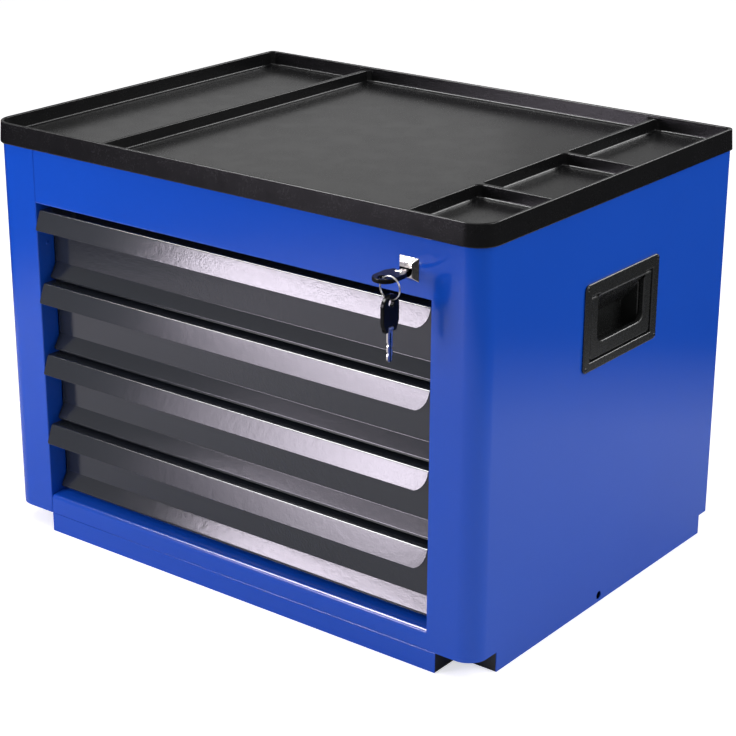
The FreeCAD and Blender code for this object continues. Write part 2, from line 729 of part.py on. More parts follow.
def drawers():
    """Folded fronts, boxes and lock catches, lowest drawer first."""
    for drawer in DRAWERS:
        edge = f"first_edge + {drawer - 1}*pitch"
        path = (
            ("front - lip_reach", f"{edge} + front_height - lip_height"),
            ("front + lip_top", f"{edge} + front_height"),
            ("face_back", f"{edge} + front_height"),
            ("face_back", f"{edge} + slope_rise"),
            ("front + slope_recess", edge),
            ("front + slope_recess + hem", f"{edge} + hem/3"),
        )
        path = tuple(reversed(path))
        bends = ("0.9*front_sheet", "2*front_sheet", "2*front_sheet", "2*front_sheet")
        sheet_front = folded(f"front_{drawer}", "yz", path, bends, "front_sheet", "-front_x", "front_x")
        tools = []
        for word, side in SIDES:
            lip_low = f"{edge} + front_height - lip_height - front_sheet/2"
            lip_y = ("front - lip_reach - 2", "front + front_recess/2")
            tools.append(corner_tool(f"lip_{drawer}_{word}", side, f"lip_radius_{word}", lip_y, lip_low))
            slope_y = ("front + front_recess/2", "face_back + 2")
            slope_low = f"{edge} - front_sheet"
            slope_corner = f"slope_radius_{word}"
            tools.append(corner_tool(f"slope_{drawer}_{word}", side, slope_corner, slope_y, slope_low))
        node(cut(f"front_{drawer}_cut", sheet_front, *tools), f"drawer_{drawer}_front")

        x = ("-box_x", "box_x")
        y = ("face_back", "face_back + box_length")
        z = (f"{edge} + box_rise", f"{edge} + box_rise + box_height")
        outer = box(f"box_{drawer}", x, y, z)
        inner = box(
            f"box_{drawer}_inside",
            (f"{x[0]} + box_sheet", f"{x[1]} - box_sheet"),
            (f"{y[0]} + box_sheet", f"{y[1]} - box_sheet"),
            (f"{z[0]} + box_sheet", f"{z[1]} + 1"),
        )
        node(cut(f"box_{drawer}_cut", outer, inner), f"drawer_{drawer}_box")

        catch = box(
            f"catch_{drawer}",
            ("box_x", "box_x + catch_width"),
            ("catch_front", "catch_front + catch_sheet"),
            (f"{edge} + catch_top - catch_height", f"{edge} + catch_top"),
        )
        node(catch, f"drawer_{drawer}_catch")


def lock():
    """Lock plate, housing, plug, cam and the bar that holds all drawers."""
    plate = doc.addObject("Part::Wedge", "plate")
    bind(
        plate,
        Xmin="-plate_face/2", Xmax="plate_face/2", Zmin="-plate_face/2", Zmax="plate_face/2",
        X2min="-plate_width/2", X2max="plate_width/2", Z2min="-plate_width/2", Z2max="plate_width/2",
        Ymin="-plate_rise", Ymax="0",
    )
    place(plate, "lock_x", "front", "lock_z")
    axis = "lock_x"

    def on_axis(name, radius, start, stop):
        return rod(name, radius, "y", (axis, start, "lock_z"), f"{stop} - ({start})")

    bore = on_axis("plate_bore", "housing_radius + turn_play", "front - plate_rise - 1", "front + 1")
    node(cut("plate_cut", plate, bore), "lock_escutcheon")

    housing = on_axis("housing", "housing_radius", "lock_face", "housing_back")
    housing_bore = on_axis("housing_bore", "plug_radius + turn_play", "lock_face - 1", "housing_back + 1")
    node(cut("housing_cut", housing, housing_bore), "lock_housing")

    nut = doc.addObject("Part::Prism", "nut")
    nut.Polygon = 6
    bind(nut, Circumradius="nut_flats/2/cos(30)", Height="nut_height")
    turn(nut, Vector(1, 0, 0), -90)
    place(nut, axis, "skin_front", "lock_z")
    nut_end = "skin_front + nut_height + 1"
    nut_bore = on_axis("nut_bore", "housing_radius + turn_play", "skin_front - 1", nut_end)
    node(cut("nut_cut", nut, nut_bore), "lock_nut")

    plug = on_axis("plug", "plug_radius", "lock_face", "plug_back")
    keyway = box(
        "keyway",
        (f"{axis} - key_width/2 - key_play", f"{axis} + key_width/2 + key_play"),
        ("lock_face - 1", "lock_face + key_insert + 1"),
        ("lock_z - key_sheet/2 - key_play", "lock_z + key_sheet/2 + key_play"),
    )
    thread = on_axis("plug_thread", "screw_radius", "plug_back - screw_reach", "plug_back + 1")
    node(cut("plug_cut", plug, keyway, thread), "lock_plug")

    disc = on_axis("cam_disc", "cam_radius", "plug_back", "cam_back")
    pin_start = (f"{axis} + crank", "plug_back + cam_sheet/2", "lock_z + crank")
    pin_end = "bar_back + bar_play/2"
    crank_pin = rod("cam_crank", "cam_pin", "y", pin_start, f"{pin_end} - ({pin_start[1]})")
    cam_bore = on_axis("cam_bore", "screw_radius + turn_play", "plug_back - 1", "cam_back + 1")
    node(cut("cam_cut", join("cam_joined", disc, crank_pin), cam_bore), "lock_cam")

    shank = on_axis("cam_shank", "screw_radius", "plug_back - screw_reach", "cam_back")
    head = on_axis("cam_head", "screw_head", "cam_back", "cam_back + screw_radius")
    node(join("cam_screw", shank, head), "lock_cam_screw")

    level = "lock_z + crank"
    y = ("bar_front", "bar_back")
    strip = box("bar_strip", ("bar_x", "bar_x + bar_width"), y, ("bar_start", f"{level} + bar_width/2"))
    arm_x = (f"{axis} - cam_pin", "bar_x + bar_width")
    arm = box("bar_arm", arm_x, y, (f"{level} - bar_width/2", f"{level} + bar_width/2"))
    lugs = []
    for drawer in DRAWERS:
        low = f"first_edge + {drawer - 1}*pitch + lug_rise"
        x = ("box_x + catch_width/3", "bar_x + bar_sheet")
        lugs.append(box(f"bar_lug_{drawer}", x, y, (low, f"{low} + lug_height")))
    slot = box(
        "bar_slot",
        (f"{axis} + crank - cam_pin - slot_play", f"{axis} + cam_throw + cam_pin + slot_play"),
        ("bar_front - 1", "bar_back + 1"),
        (f"{level} - cam_pin - slot_play", f"{level} + cam_pin + slot_play"),
    )
    node(cut("bar_cut", join("bar_joined", strip, arm, *lugs), slot), "lock_bar")

    guides = []
    for drawer in (1, 3):
        middle = f"first_edge + {drawer - 1}*pitch + lug_rise + lug_height/2 + pitch/2"
        z = (f"{middle} - guide_height/2", f"{middle} + guide_height/2")
        block = box(
            f"guide_{drawer}",
            ("bar_x - bar_play - guide_wall", "bar_x + bar_width + bar_play + guide_wall"),
            ("bar_front - bar_play - guide_wall", "post_front"),
            z,
        )
        way = box(
            f"guide_{drawer}_way",
            ("bar_x - bar_play", "bar_x + bar_width + bar_play"),
            ("bar_front - bar_play", "post_front + 1"),
            (f"{z[0]} - 1", f"{z[1]} + 1"),
        )
        guides.append(cut(f"guide_{drawer}_cut", block, way))
    node(group("guides", guides), "lock_bar_guides")


def key_blade(name):
    """Blade with its eye at the origin and its tip towards +Y."""
    eye = rod(f"{name}_eye", "key_barrel", "x", ("-key_width/2", "0", "0"), "key_width")
    x = ("-key_width/2", "key_width/2")
    blade = box(f"{name}_blade", x, ("0", "key_gap + key_insert"), ("-key_sheet/2", "key_sheet/2"))
    bites = [rod(f"{name}_eye_hole", "key_pin + turn_play", "x", ("-key_width", "0", "0"), "2*key_width")]
    for index, (side, depth) in enumerate(((1, 0.6), (-1, 0.8), (1, 0.5), (-1, 0.7)), start=1):
        along = f"key_gap + {index}*key_insert/5"
        spot = (f"{side}*(key_width/2 + key_barrel - {depth})", along, "-key_sheet")
        bites.append(rod(f"{name}_bite_{index}", "key_barrel", "z", spot, "2*key_sheet"))
    return cut(f"{name}_cut", join(f"{name}_joined", eye, blade), *bites)


def key_bow(name):
    """Plastic head in the same frame, with a fork round the eye and a ring hole."""
    end = "bow_front - bow_length + bow_width/2"
    x = ("-bow_width/2", "bow_width/2")
    outline = (
        ("-bow_shoulder/2", "bow_front"),
        (x[0], "bow_front - bow_taper"),
        (x[0], end),
        (x[1], end),
        (x[1], "bow_front - bow_taper"),
        ("bow_shoulder/2", "bow_front"),
    )
    slab = prism(f"{name}_slab", "XY_Plane", outline, "bow_sheet")
    place(slab, z="-bow_sheet/2")
    rounded = rod(f"{name}_end", "bow_width/2", "z", ("0", end, "-bow_sheet/2"), "bow_sheet")
    fork = box(
        f"{name}_fork",
        ("-key_width/2 - key_play", "key_width/2 + key_play"),
        ("-bow_front", "bow_front + 1"),
        ("-bow_sheet", "bow_sheet"),
    )
    hole_y = "bow_front - bow_length + bow_hole_end"
    hole = rod(f"{name}_hole", "bow_hole", "z", ("0", hole_y, "-bow_sheet"), "2*bow_sheet")
    pin_way = rod(f"{name}_pin_way", "key_pin + turn_play", "x", ("-bow_width", "0", "0"), "2*bow_width")
    return cut(f"{name}_cut", join(f"{name}_joined", slab, rounded), fork, hole, pin_way)


def fold_pin(name):
    inset = "(bow_shoulder/2 - key_pin/2)"
    return rod(name, "key_pin", "x", (f"-{inset}", "0", "0"), f"2*{inset}")


def keys():
    """Key in the lock, split ring and spare key that hangs on it."""
    for make, name in ((key_blade, "key_blade"), (key_bow, "key_head"), (fold_pin, "key_pin")):
        whole = group(name + "_set", [make(name + "_first")])
        node(place(whole, "lock_x", "key_axis", "lock_z"), name)

    ring = doc.addObject("Part::Torus", "ring")
    bind(ring, Radius1="ring_radius", Radius2="ring_wire")
    turn(ring, Vector(1, 0, 0), 90)
    node(place(ring, "ring_x", "ring_y", "ring_z"), "key_ring")

    hanging = FreeCAD.Rotation(Vector(0, -1, 0), Vector(0, 0, -1), Vector(1, 0, 0), "ZYX")
    spare = ((key_blade, "spare_key_blade"), (key_bow, "spare_key_head"), (fold_pin, "spare_key_pin"))
    for make, name in spare:
        whole = group(name + "_set", [make(name + "_second")])
        whole.Placement = FreeCAD.Placement(Vector(), hanging)
        node(place(whole, "ring_x", "ring_y", "spare_axis"), name)


def handle(word, side):
    """Recessed frame with a finger pocket and a folding grip."""
    def across(near, far):
        return span(side, near, far)

    def around(width):
        return (f"handle_back - {width}/2", f"handle_back + {width}/2")

    face = "half + frame_proud"
    level = "handle_height"
    flange_y = around("frame_width")
    flange_z = (f"{level} - frame_height/2", f"{level} + frame_height/2")
    radii = ("frame_radius",) * 4
    flange = rounded_block(f"{word}_flange", "YZ_Plane", flange_y, flange_z, radii, "frame_proud")
    place(flange, across("half", face)[0])
    cup_z = (f"{level} - cup_height/2", f"{level} + cup_height/2")
    cup = box(f"{word}_cup", across("half - cup_depth", "half"), around("cup_width"), cup_z)

    grip_x = (f"{face} - bail_recess - bail_sheet - bail_rest", f"{face} + 1")
    channel_y = around("(bail_width + 2*bail_play)")
    arm_inner = "(bail_width/2 - bail_arm)"
    low = "bail_axis_z - bail_drop"
    channel_top = "bail_axis_z + bail_sheet/2 + bail_play"
    tools = [
        box(
            f"{word}_bar_way",
            across(*grip_x),
            channel_y,
            (f"{low} - bail_play", f"{low} + bail_bar + bail_play"),
        ),
        box(
            f"{word}_near_arm_way",
            across(*grip_x),
            (channel_y[0], f"handle_back - {arm_inner}"),
            (f"{low} - bail_play", channel_top),
        ),
        box(
            f"{word}_far_arm_way",
            across(*grip_x),
            (f"handle_back + {arm_inner}", channel_y[1]),
            (f"{low} - bail_play", channel_top),
        ),
    ]
    mouth = f"{face} + frame_proud"
    wall = "half - cup_depth + cup_wall"
    section = (
        (mouth, f"{level} + pocket_top + frame_proud"),
        (wall, f"{level} + pocket_top - pocket_slope"),
        (wall, f"{level} - pocket_floor"),
        (mouth, f"{level} - pocket_floor"),
    )
    if side < 0:
        section = tuple((f"-({u})", v) for u, v in section)
    pocket_block = prism(f"{word}_pocket", "XZ_Plane", section, f"2*{arm_inner}")
    tools.append(place(pocket_block, y=f"handle_back + {arm_inner}"))
    pin_length = "(cup_width - bail_width)/2 + bail_arm - pin_cover"
    pin_starts = (
        "handle_back - cup_width/2 + pin_cover",
        f"handle_back + {arm_inner}",
    )
    axis_x = "bail_axis_x" if side > 0 else "-bail_axis_x"
    pins = []
    for index, start in enumerate(pin_starts, start=1):
        spot = (axis_x, start, "bail_axis_z")
        pins.append(rod(f"{word}_pin_{index}", "hinge_pin", "y", spot, pin_length))
        tools.append(rod(f"{word}_pin_seat_{index}", "hinge_pin", "y", spot, pin_length))
    through = across("half - 1", f"{face} + 1")
    tools += screw_spots(f"{word}_frame_hole", side, "rivet_shank", through[0], "frame_proud + 2")
    node(cut(f"{word}_frame_cut", join(f"{word}_frame_joined", flange, cup), *tools), f"{word}_handle_frame")

    thick = across("bail_axis_x - bail_sheet/2", "bail_axis_x + bail_sheet/2")
    outer_y = around("bail_width")
    plate = box(f"{word}_bail_plate", thick, outer_y, (low, "bail_axis_z"))
    knuckle = rod(f"{word}_knuckle", "bail_sheet/2", "y", (axis_x, outer_y[0], "bail_axis_z"), "bail_width")
    hole_z = (f"{low} + bail_bar", "bail_axis_z + bail_sheet")
    hole_y = (f"handle_back - {arm_inner}", f"handle_back + {arm_inner}")
    radii = ("bail_radius", "bail_radius", None, None)
    window = rounded_block(f"{word}_window", "YZ_Plane", hole_y, hole_z, radii, "bail_sheet + 2")
    place(window, across("bail_axis_x - bail_sheet/2 - 1", "bail_axis_x + bail_sheet/2 + 1")[0])
    bores = []
    for index, start in enumerate((outer_y[0], hole_y[1]), start=1):
        spot = (axis_x, f"{start} - 1", "bail_axis_z")
        bores.append(rod(f"{word}_bail_bore_{index}", "hinge_pin + turn_play", "y", spot, "bail_arm + 2"))
    grip = cut(f"{word}_bail_cut", join(f"{word}_bail_joined", plate, knuckle), window, *bores)
    node(grip, f"{word}_handle_bail")
    return pins


def rivet_head(name, axis, spot, direction):
    """Low head along the axis, on the side that the direction names."""
    length = "rivet_rise"
    x, y, z = spot
    if axis == "x":
        x = x if direction > 0 else f"{x} - rivet_rise"
    if axis == "y":
        y = y if direction > 0 else f"{y} - rivet_rise"
    return rod(name, "rivet_radius", axis, (x, y, z), length)


def fasteners():
    """Handle pins and screws, and the rivets of the jambs and the back."""
    pins = []
    screws = []
    jambs = []
    for word, side in SIDES:
        pins += handle(word, side)
        face = span(side, "half - panel", "half + frame_proud")
        shanks = screw_spots(f"{word}_screw", side, "rivet_shank", face[0], "panel + frame_proud")
        for index, shank in enumerate(shanks, start=1):
            start = face[1] if side > 0 else f"{face[0]} - rivet_rise"
            head = screw_spots(f"{word}_head_{index}", side, "rivet_radius", start, "rivet_rise")[index - 1]
            screws.append(join(f"{word}_screw_{index}_joined", shank, head))
        level = "first_edge + 3*pitch + jamb_rivet_rise"
        y = "front + jamb_rivet_back"
        jamb_face = f"{side}*opening"
        jambs.append(rivet_head(f"{word}_jamb_head", "x", (jamb_face, y, level), -side))
    node(group("pins", pins), "handle_pins")
    node(group("screws", screws), "handle_screws")
    node(group("jamb_heads", jambs), "jamb_rivets")

    rivets = []
    for word, side in SIDES:
        shanks = rear_rivets(f"{word}_back_shank", side, "rivet_shank", "skin_back - panel", "2*panel")
        heads = rear_rivets(f"{word}_back_head", side, "rivet_radius", "back", "rivet_rise")
        for index, pair in enumerate(zip(shanks, heads), start=1):
            rivets.append(join(f"{word}_back_rivet_{index}", *pair))
    node(group("back_heads", rivets), "back_rivets")


def check(piece):
    if {"Invalid", "Error"} & set(piece.State):
        raise RuntimeError(f"{piece.Label} failed: {piece.State}")


shell()
channels()
tray()
slides()
drawers()
lock()
keys()
fasteners()
doc.recompute()

for item in doc.Objects:
    check(item)
os.makedirs("parts", exist_ok=True)
for piece in nodes:
    if piece.Shape.isNull() or not piece.Shape.isValid() or piece.Shape.Volume <= 0:
        raise RuntimeError(f"{piece.Label} has no valid solid")
for piece in nodes:
    piece.Shape.exportStep(f"parts/{piece.Label}.step")
print(len(nodes), "nodes written")
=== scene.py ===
import math

import bmesh
import bpy
from mathutils import Matrix, Vector


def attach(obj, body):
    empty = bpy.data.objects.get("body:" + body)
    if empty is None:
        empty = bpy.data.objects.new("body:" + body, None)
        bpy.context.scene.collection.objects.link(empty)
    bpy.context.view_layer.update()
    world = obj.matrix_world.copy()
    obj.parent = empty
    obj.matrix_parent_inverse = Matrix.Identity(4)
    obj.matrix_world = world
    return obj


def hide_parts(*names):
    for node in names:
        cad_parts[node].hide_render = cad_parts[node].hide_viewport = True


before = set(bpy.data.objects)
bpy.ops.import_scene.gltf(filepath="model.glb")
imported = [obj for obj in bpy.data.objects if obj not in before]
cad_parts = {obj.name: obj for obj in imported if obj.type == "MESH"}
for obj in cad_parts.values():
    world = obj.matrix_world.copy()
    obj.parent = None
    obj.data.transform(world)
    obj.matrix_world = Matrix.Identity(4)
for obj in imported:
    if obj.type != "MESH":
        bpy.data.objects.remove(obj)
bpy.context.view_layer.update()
metresPerMm = 0.001
weld = 1e-7  # metres, points nearer than this are one
cutWeld = 1e-6  # the same after cutting
past = 1  # mm that a tool reaches past what it cuts


# Meshes are worked out in millimetres and stored in metres

def meshFrom(name, points, faces):
    mesh = bpy.data.meshes.new(name)
    mesh.from_pydata([Vector(p) * metresPerMm for p in points], [], faces)
    shape = bmesh.new()
    shape.from_mesh(mesh)
    bmesh.ops.remove_doubles(shape, verts=shape.verts, dist=weld)
    bmesh.ops.delete(shape, geom=[v for v in shape.verts if not v.link_faces], context="VERTS")
    bmesh.ops.recalc_face_normals(shape, faces=shape.faces)
    shape.to_mesh(mesh)
    shape.free()
    piece = bpy.data.objects.new(name, mesh)
    bpy.context.scene.collection.objects.link(piece)
    return piece


def settle(piece):  # modifiers turned into plain mesh
    bpy.context.view_layer.update()
    seen = piece.evaluated_get(bpy.context.evaluated_depsgraph_get())
    mesh = bpy.data.meshes.new_from_object(seen)
    mesh.name = piece.name
    piece.modifiers.clear()
    piece.data = mesh
    return piece


def combine(piece, tools, operation="DIFFERENCE"):  # the tools are used up
    for tool in tools:
        step = piece.modifiers.new(tool.name, "BOOLEAN")
        step.operation = operation
        step.solver = "EXACT"
        step.object = tool
    settle(piece)
    for tool in tools:
        bpy.data.objects.remove(tool)
    return piece


def soften(piece, width, segments=2, angle=32):  # rounded edges with clean shading
    shape = bmesh.new()
    shape.from_mesh(piece.data)
    bmesh.ops.remove_doubles(shape, verts=shape.verts, dist=cutWeld)
    bmesh.ops.dissolve_degenerate(shape, edges=shape.edges, dist=cutWeld)
    shape.to_mesh(piece.data)
    shape.free()
    piece.data.shade_smooth()
    bevel = piece.modifiers.new("edges", "BEVEL")
    bevel.width = width * metresPerMm
    bevel.segments = segments
    bevel.limit_method = "ANGLE"
    bevel.angle_limit = math.radians(angle)
    bevel.use_clamp_overlap = False
    bevel.harden_normals = True
    normals = piece.modifiers.new("normals", "WEIGHTED_NORMAL")  # large faces stay flat
    normals.mode = "FACE_AREA"
    normals.keep_sharp = True
    return settle(piece)


def block(name, x, y, z):
    points = [(u, v, w) for w in z for v in y for u in x]
    faces = [(0, 1, 3, 2), (4, 5, 7, 6), (0, 1, 5, 4), (2, 3, 7, 6), (0, 2, 6, 4), (1, 3, 7, 5)]
    return meshFrom(name, points, faces)


def loft(name, loops):  # closed solid through loops with equal counts
    count = len(loops[0])
    points = [point for loop in loops for point in loop]
    faces = []
    for level in range(len(loops) - 1):
        for index in range(count):
            following = (index + 1) % count
            low = level * count
            faces.append((low + index, low + following, low + count + following, low + count + index))
    faces.append(tuple(range(count)))
    faces.append(tuple(range((len(loops) - 1) * count, len(loops) * count)))
    return meshFrom(name, points, faces)


def toAxis(axis, u, v, w):  # w runs along the axis
    return {"x": (w, u, v), "y": (u, w, v), "z": (u, v, w)}[axis]


def rod(name, axis, centre, radius, low, high, steps=48):
    ring = [(math.cos(math.tau * k / steps), math.sin(math.tau * k / steps)) for k in range(steps)]
    loops = [
        [toAxis(axis, centre[0] + radius * c, centre[1] + radius * s, level) for c, s in ring]
        for level in (low, high)
    ]
    return loft(name, loops)


def roundedLoop(u, v, radii, steps=10):  # corners low-low, high-low, high-high, low-high
    corners = ((u[0], v[0], 1, 1), (u[1], v[0], -1, 1), (u[1], v[1], -1, -1), (u[0], v[1], 1, -1))
    loop = []
    for index, ((a, b, across, along), radius) in enumerate(zip(corners, radii)):
        if not radius:
            loop.append((a, b))
            continue
        middle = (a + across * radius, b + along * radius)
        for step in range(steps + 1):
            angle = math.pi * (1 + index / 2 + step / steps / 2)
            loop.append((middle[0] + radius * math.cos(angle), middle[1] + radius * math.sin(angle)))
    return loop


def roundedBlock(name, axis, u, v, radii, levels):  # levels are pairs of place and inset
    least = 0.02
    loops = []
    for level, inset in levels:
        smaller = [radius and max(radius - inset, least) for radius in radii]
        outline = roundedLoop((u[0] + inset, u[1] - inset), (v[0] + inset, v[1] - inset), smaller)
        loops.append([toAxis(axis, a, b, level) for a, b in outline])
    return loft(name, loops)


def prism(name, axis, outline, low, high):
    return loft(name, [[toAxis(axis, u, v, level) for u, v in outline] for level in (low, high)])


def bendPath(corners, radii, steps=10):  # bent line as pairs of point and left direction
    corners = [Vector(corner) for corner in corners]
    headings = [(b - a).normalized() for a, b in zip(corners, corners[1:])]
    lefts = [Vector((-heading.y, heading.x)) for heading in headings]
    trail = [(corners[0], lefts[0])]
    for index, radius in enumerate(radii, start=1):
        if not radius:
            trail.append((corners[index], lefts[index]))
            continue
        before, after = headings[index - 1], headings[index]
        turned = math.atan2(before.cross(after), before.dot(after))
        side = math.copysign(1, turned)
        trim = radius * math.tan(abs(turned) / 2)
        centre = corners[index] - before * trim + lefts[index - 1] * side * radius
        for step in range(steps + 1):
            left = Matrix.Rotation(turned * step / steps, 2) @ lefts[index - 1]
            trail.append((centre - left * side * radius, left))
    trail.append((corners[-1], lefts[-1]))
    return trail


def foldedSheet(name, plane, trail, thickness, stops, keep=None):  # sheet on the left of its trail
    rows = len(stops)
    points = []
    for offset in (0, thickness):
        for point, left in trail:
            u, v = point + left * offset
            points += [(u, v, w) if plane == "xy" else (w, u, v) for w in stops]

    def kept(i, j):
        if not (0 <= i < len(trail) - 1 and 0 <= j < rows - 1):
            return False
        middle = (trail[i][0] + trail[i + 1][0]) / 2
        return keep is None or keep(middle, (stops[j] + stops[j + 1]) / 2)

    faces = []
    back = len(trail) * rows
    for i in range(len(trail) - 1):
        for j in range(rows - 1):
            if not kept(i, j):
                continue
            a, b, c, d = i * rows + j, (i + 1) * rows + j, (i + 1) * rows + j + 1, i * rows + j + 1
            faces += [(a, b, c, d), (a + back, b + back, c + back, d + back)]
            walls = ((a, b, i, j - 1), (b, c, i + 1, j), (c, d, i, j + 1), (d, a, i - 1, j))
            faces += [(p, q, q + back, p + back) for p, q, ni, nj in walls if not kept(ni, nj)]
    return meshFrom(name, points, faces)


# Materials: Flow wraps a socket, so that shader maths is written as expressions

class Flow:
    def __init__(self, finish, socket):
        self.finish = finish
        self.socket = socket

    def maths(self, operation, first, second):
        return self.finish.add("ShaderNodeMath", {"operation": operation}, {0: first, 1: second})

    def __add__(self, other):
        return self.maths("ADD", self, other)

    def __sub__(self, other):
        return self.maths("SUBTRACT", self, other)

    def __rsub__(self, other):
        return self.maths("SUBTRACT", other, self)

    def __mul__(self, other):
        return self.maths("MULTIPLY", self, other)

    __radd__ = __add__
    __rmul__ = __mul__


class Finish:
    def __init__(self, name):
        self.material = bpy.data.materials.new(name)
        self.material.use_nodes = True
        self.tree = self.material.node_tree
        self.tree.nodes.clear()
        self.where = self.add("ShaderNodeTexCoord", {}, {}, "Object")

    def add(self, kind, settings, sockets, output=0):
        node = self.tree.nodes.new(kind)
        for key, value in settings.items():
            if key == "stops":
                ramp = node.color_ramp.elements
                ramp[0].color = (*value[0][1], 1)
                ramp[1].color = (*value[-1][1], 1)
                for spot, shade in value[1:-1]:
                    ramp.new(spot).color = (*shade, 1)
            else:
                setattr(node, key, value)
        for key, value in sockets.items():
            if isinstance(value, Flow):
                self.tree.links.new(value.socket, node.inputs[key])
            else:
                node.inputs[key].default_value = value
        return Flow(self, node.outputs[output]) if node.outputs else None

    def noise(self, size, detail=2.0, roughness=0.5):  # size in millimetres
        scale = 1 / metresPerMm / size
        sockets = {"Vector": self.where, "Scale": scale, "Detail": detail, "Roughness": roughness}
        return self.add("ShaderNodeTexNoise", {}, sockets)

    def cells(self, size, output="Distance"):
        scale = 1 / metresPerMm / size
        return self.add("ShaderNodeTexVoronoi", {}, {"Vector": self.where, "Scale": scale}, output)

    def band(self, value, low, high, start=0.0, end=1.0):
        sockets = {"Value": value, "From Min": low, "From Max": high, "To Min": start, "To Max": end}
        return self.add("ShaderNodeMapRange", {"clamp": True}, sockets)

    def blend(self, factor, first, second):
        sockets = {"Factor": factor, 6: first, 7: second}
        return self.add("ShaderNodeMix", {"data_type": "RGBA"}, sockets, 2)

    def bump(self, height, depth, under=None):  # depth in millimetres
        sockets = {"Height": height, "Distance": depth * metresPerMm, "Strength": 1.0}
        if under:
            sockets["Normal"] = under
        return self.add("ShaderNodeBump", {}, sockets)

    def shade(self, sockets):
        shader = self.add("ShaderNodeBsdfPrincipled", {}, sockets)
        self.add("ShaderNodeOutputMaterial", {}, {"Surface": shader})
        return self.material


def rgb(red, green, blue):  # written as the screen shows it, 0 to 255
    def linear(value):
        value /= 255
        return value / 12.92 if value <= 0.04045 else ((value + 0.055) / 1.055) ** 2.4
    return (linear(red), linear(green), linear(blue), 1)


# Camera at the photograph's viewing angle

view = {
    "place": (1.1691, -1.5057, 0.8918),
    "yaw": 37.6,
    "pitch": 20.68,
    "roll": 0.22,
    "lens": 98.4,
    "sensor": 36,
}


def makeCamera():
    yaw, pitch, roll = (math.radians(view[key]) for key in ("yaw", "pitch", "roll"))
    flat = Vector((-math.sin(yaw), math.cos(yaw), 0))
    up = Vector((0, 0, 1)) * math.cos(pitch) + flat * math.sin(pitch)
    forward = flat * math.cos(pitch) - Vector((0, 0, 1)) * math.sin(pitch)
    across = forward.cross(up)
    right = across * math.cos(roll) + up * math.sin(roll)
    upright = up * math.cos(roll) - across * math.sin(roll)
    data = bpy.data.cameras.new("camera")
    data.lens = view["lens"]
    data.sensor_width = view["sensor"]
    camera = bpy.data.objects.new("camera", data)
    bpy.context.scene.collection.objects.link(camera)
    camera.matrix_world = Matrix((
        (right.x, upright.x, -forward.x, view["place"][0]),
        (right.y, upright.y, -forward.y, view["place"][1]),
        (right.z, upright.z, -forward.z, view["place"][2]),
        (0, 0, 0, 1),
    ))
    bpy.context.scene.camera = camera


makeCamera()
print("camera placed")


# Pale floor, soft lamps and a white surround

studio = {
    "floorSize": 16,  # metres
    "floorColours": (rgb(236, 236, 238), rgb(242, 242, 243)),
    "floorMottle": 900,  # mm
    "floorLift": 0.62,  # seen by the camera on top of the lit floor
    "floorFade": (0.85, 1.15),  # metres out, where gloss sees the floor turn dark
    "fadeMiddle": (0, -0.3, 0),  # metres
    "fadeColour": rgb(60, 60, 62),
    "surround": 0.38,
    "softbox": {  # its corners in mm
        "left": (-1030, -1300),
        "right": (-480, -1420),
        "rise": (260, 1080),
        "strength": 22,
        "tint": (1.0, 0.91, 1.06, 1),
        "levels": (  # share of the rise and brightness there
            (0.0, 0.0), (0.05, 0.35), (0.17, 0.42), (0.22, 0.9), (0.33, 0.9), (0.38, 0.42), (0.46, 0.45),
            (0.51, 1.0), (0.60, 1.0), (0.64, 0.3), (0.68, 0.1), (0.9, 0.08), (1.0, 0.0),
        ),
        "dim": (0.62, 0.70),  # metres up, below this the left is dimmer
        "dimAcross": (-0.95, -0.60, 0.18),  # metres across, and the share of light left
    },
    "lamps": {  # place, aim, width and height in metres, watts, whether it lights matt surfaces
        "backLeft": ((-1.35, 1.5, 1.05), (0, 0, 0.4), 0.9, 0.5, 0.36, True),
        "right": ((2.2, 0.6, 1.6), (0.3, 0, 0.2), 1.4, 1.4, 26, True),
        "above": ((-0.2, -0.5, 2.4), (0, 0, 0.3), 1.6, 1.6, 14, True),
        "frontGlint": ((-1.15, -1.0, 1.98), (0, 0, 0.4), 0.8, 0.8, 72, False),
        "backGlint": ((0.8, 1.7, 1.6), (0, 0, 0.4), 0.8, 0.8, 22, False),
    },
}


def makeSoftbox():
    softbox = studio["softbox"]
    (leftX, leftY), (rightX, rightY) = softbox["left"], softbox["right"]
    low, high = softbox["rise"]
    corners = [(leftX, leftY, low), (rightX, rightY, low), (rightX, rightY, high), (leftX, leftY, high)]
    panel = meshFrom("softbox", corners, [(0, 1, 2, 3)])
    cloth = Finish("softboxCloth")
    x = cloth.add("ShaderNodeSeparateXYZ", {}, {0: cloth.where}, "X")
    z = cloth.add("ShaderNodeSeparateXYZ", {}, {0: cloth.where}, "Z")
    stops = [(spot, (level,) * 3) for spot, level in softbox["levels"]]
    rise = cloth.band(z, low * metresPerMm, high * metresPerMm)
    level = cloth.add("ShaderNodeValToRGB", {"stops": stops}, {"Fac": rise})
    near, far, least = softbox["dimAcross"]
    across = cloth.band(x, near, far, least, 1.0)
    lower = cloth.band(z, *softbox["dim"], 1.0, 0.0)
    glow = level * (1 - lower * (1 - across))
    cloth.shade({
        "Base Color": (0, 0, 0, 1),
        "Emission Color": cloth.blend(glow, (0, 0, 0, 1), softbox["tint"]),
        "Emission Strength": softbox["strength"],
    })
    panel.data.materials.append(cloth.material)
    panel.visible_camera = False


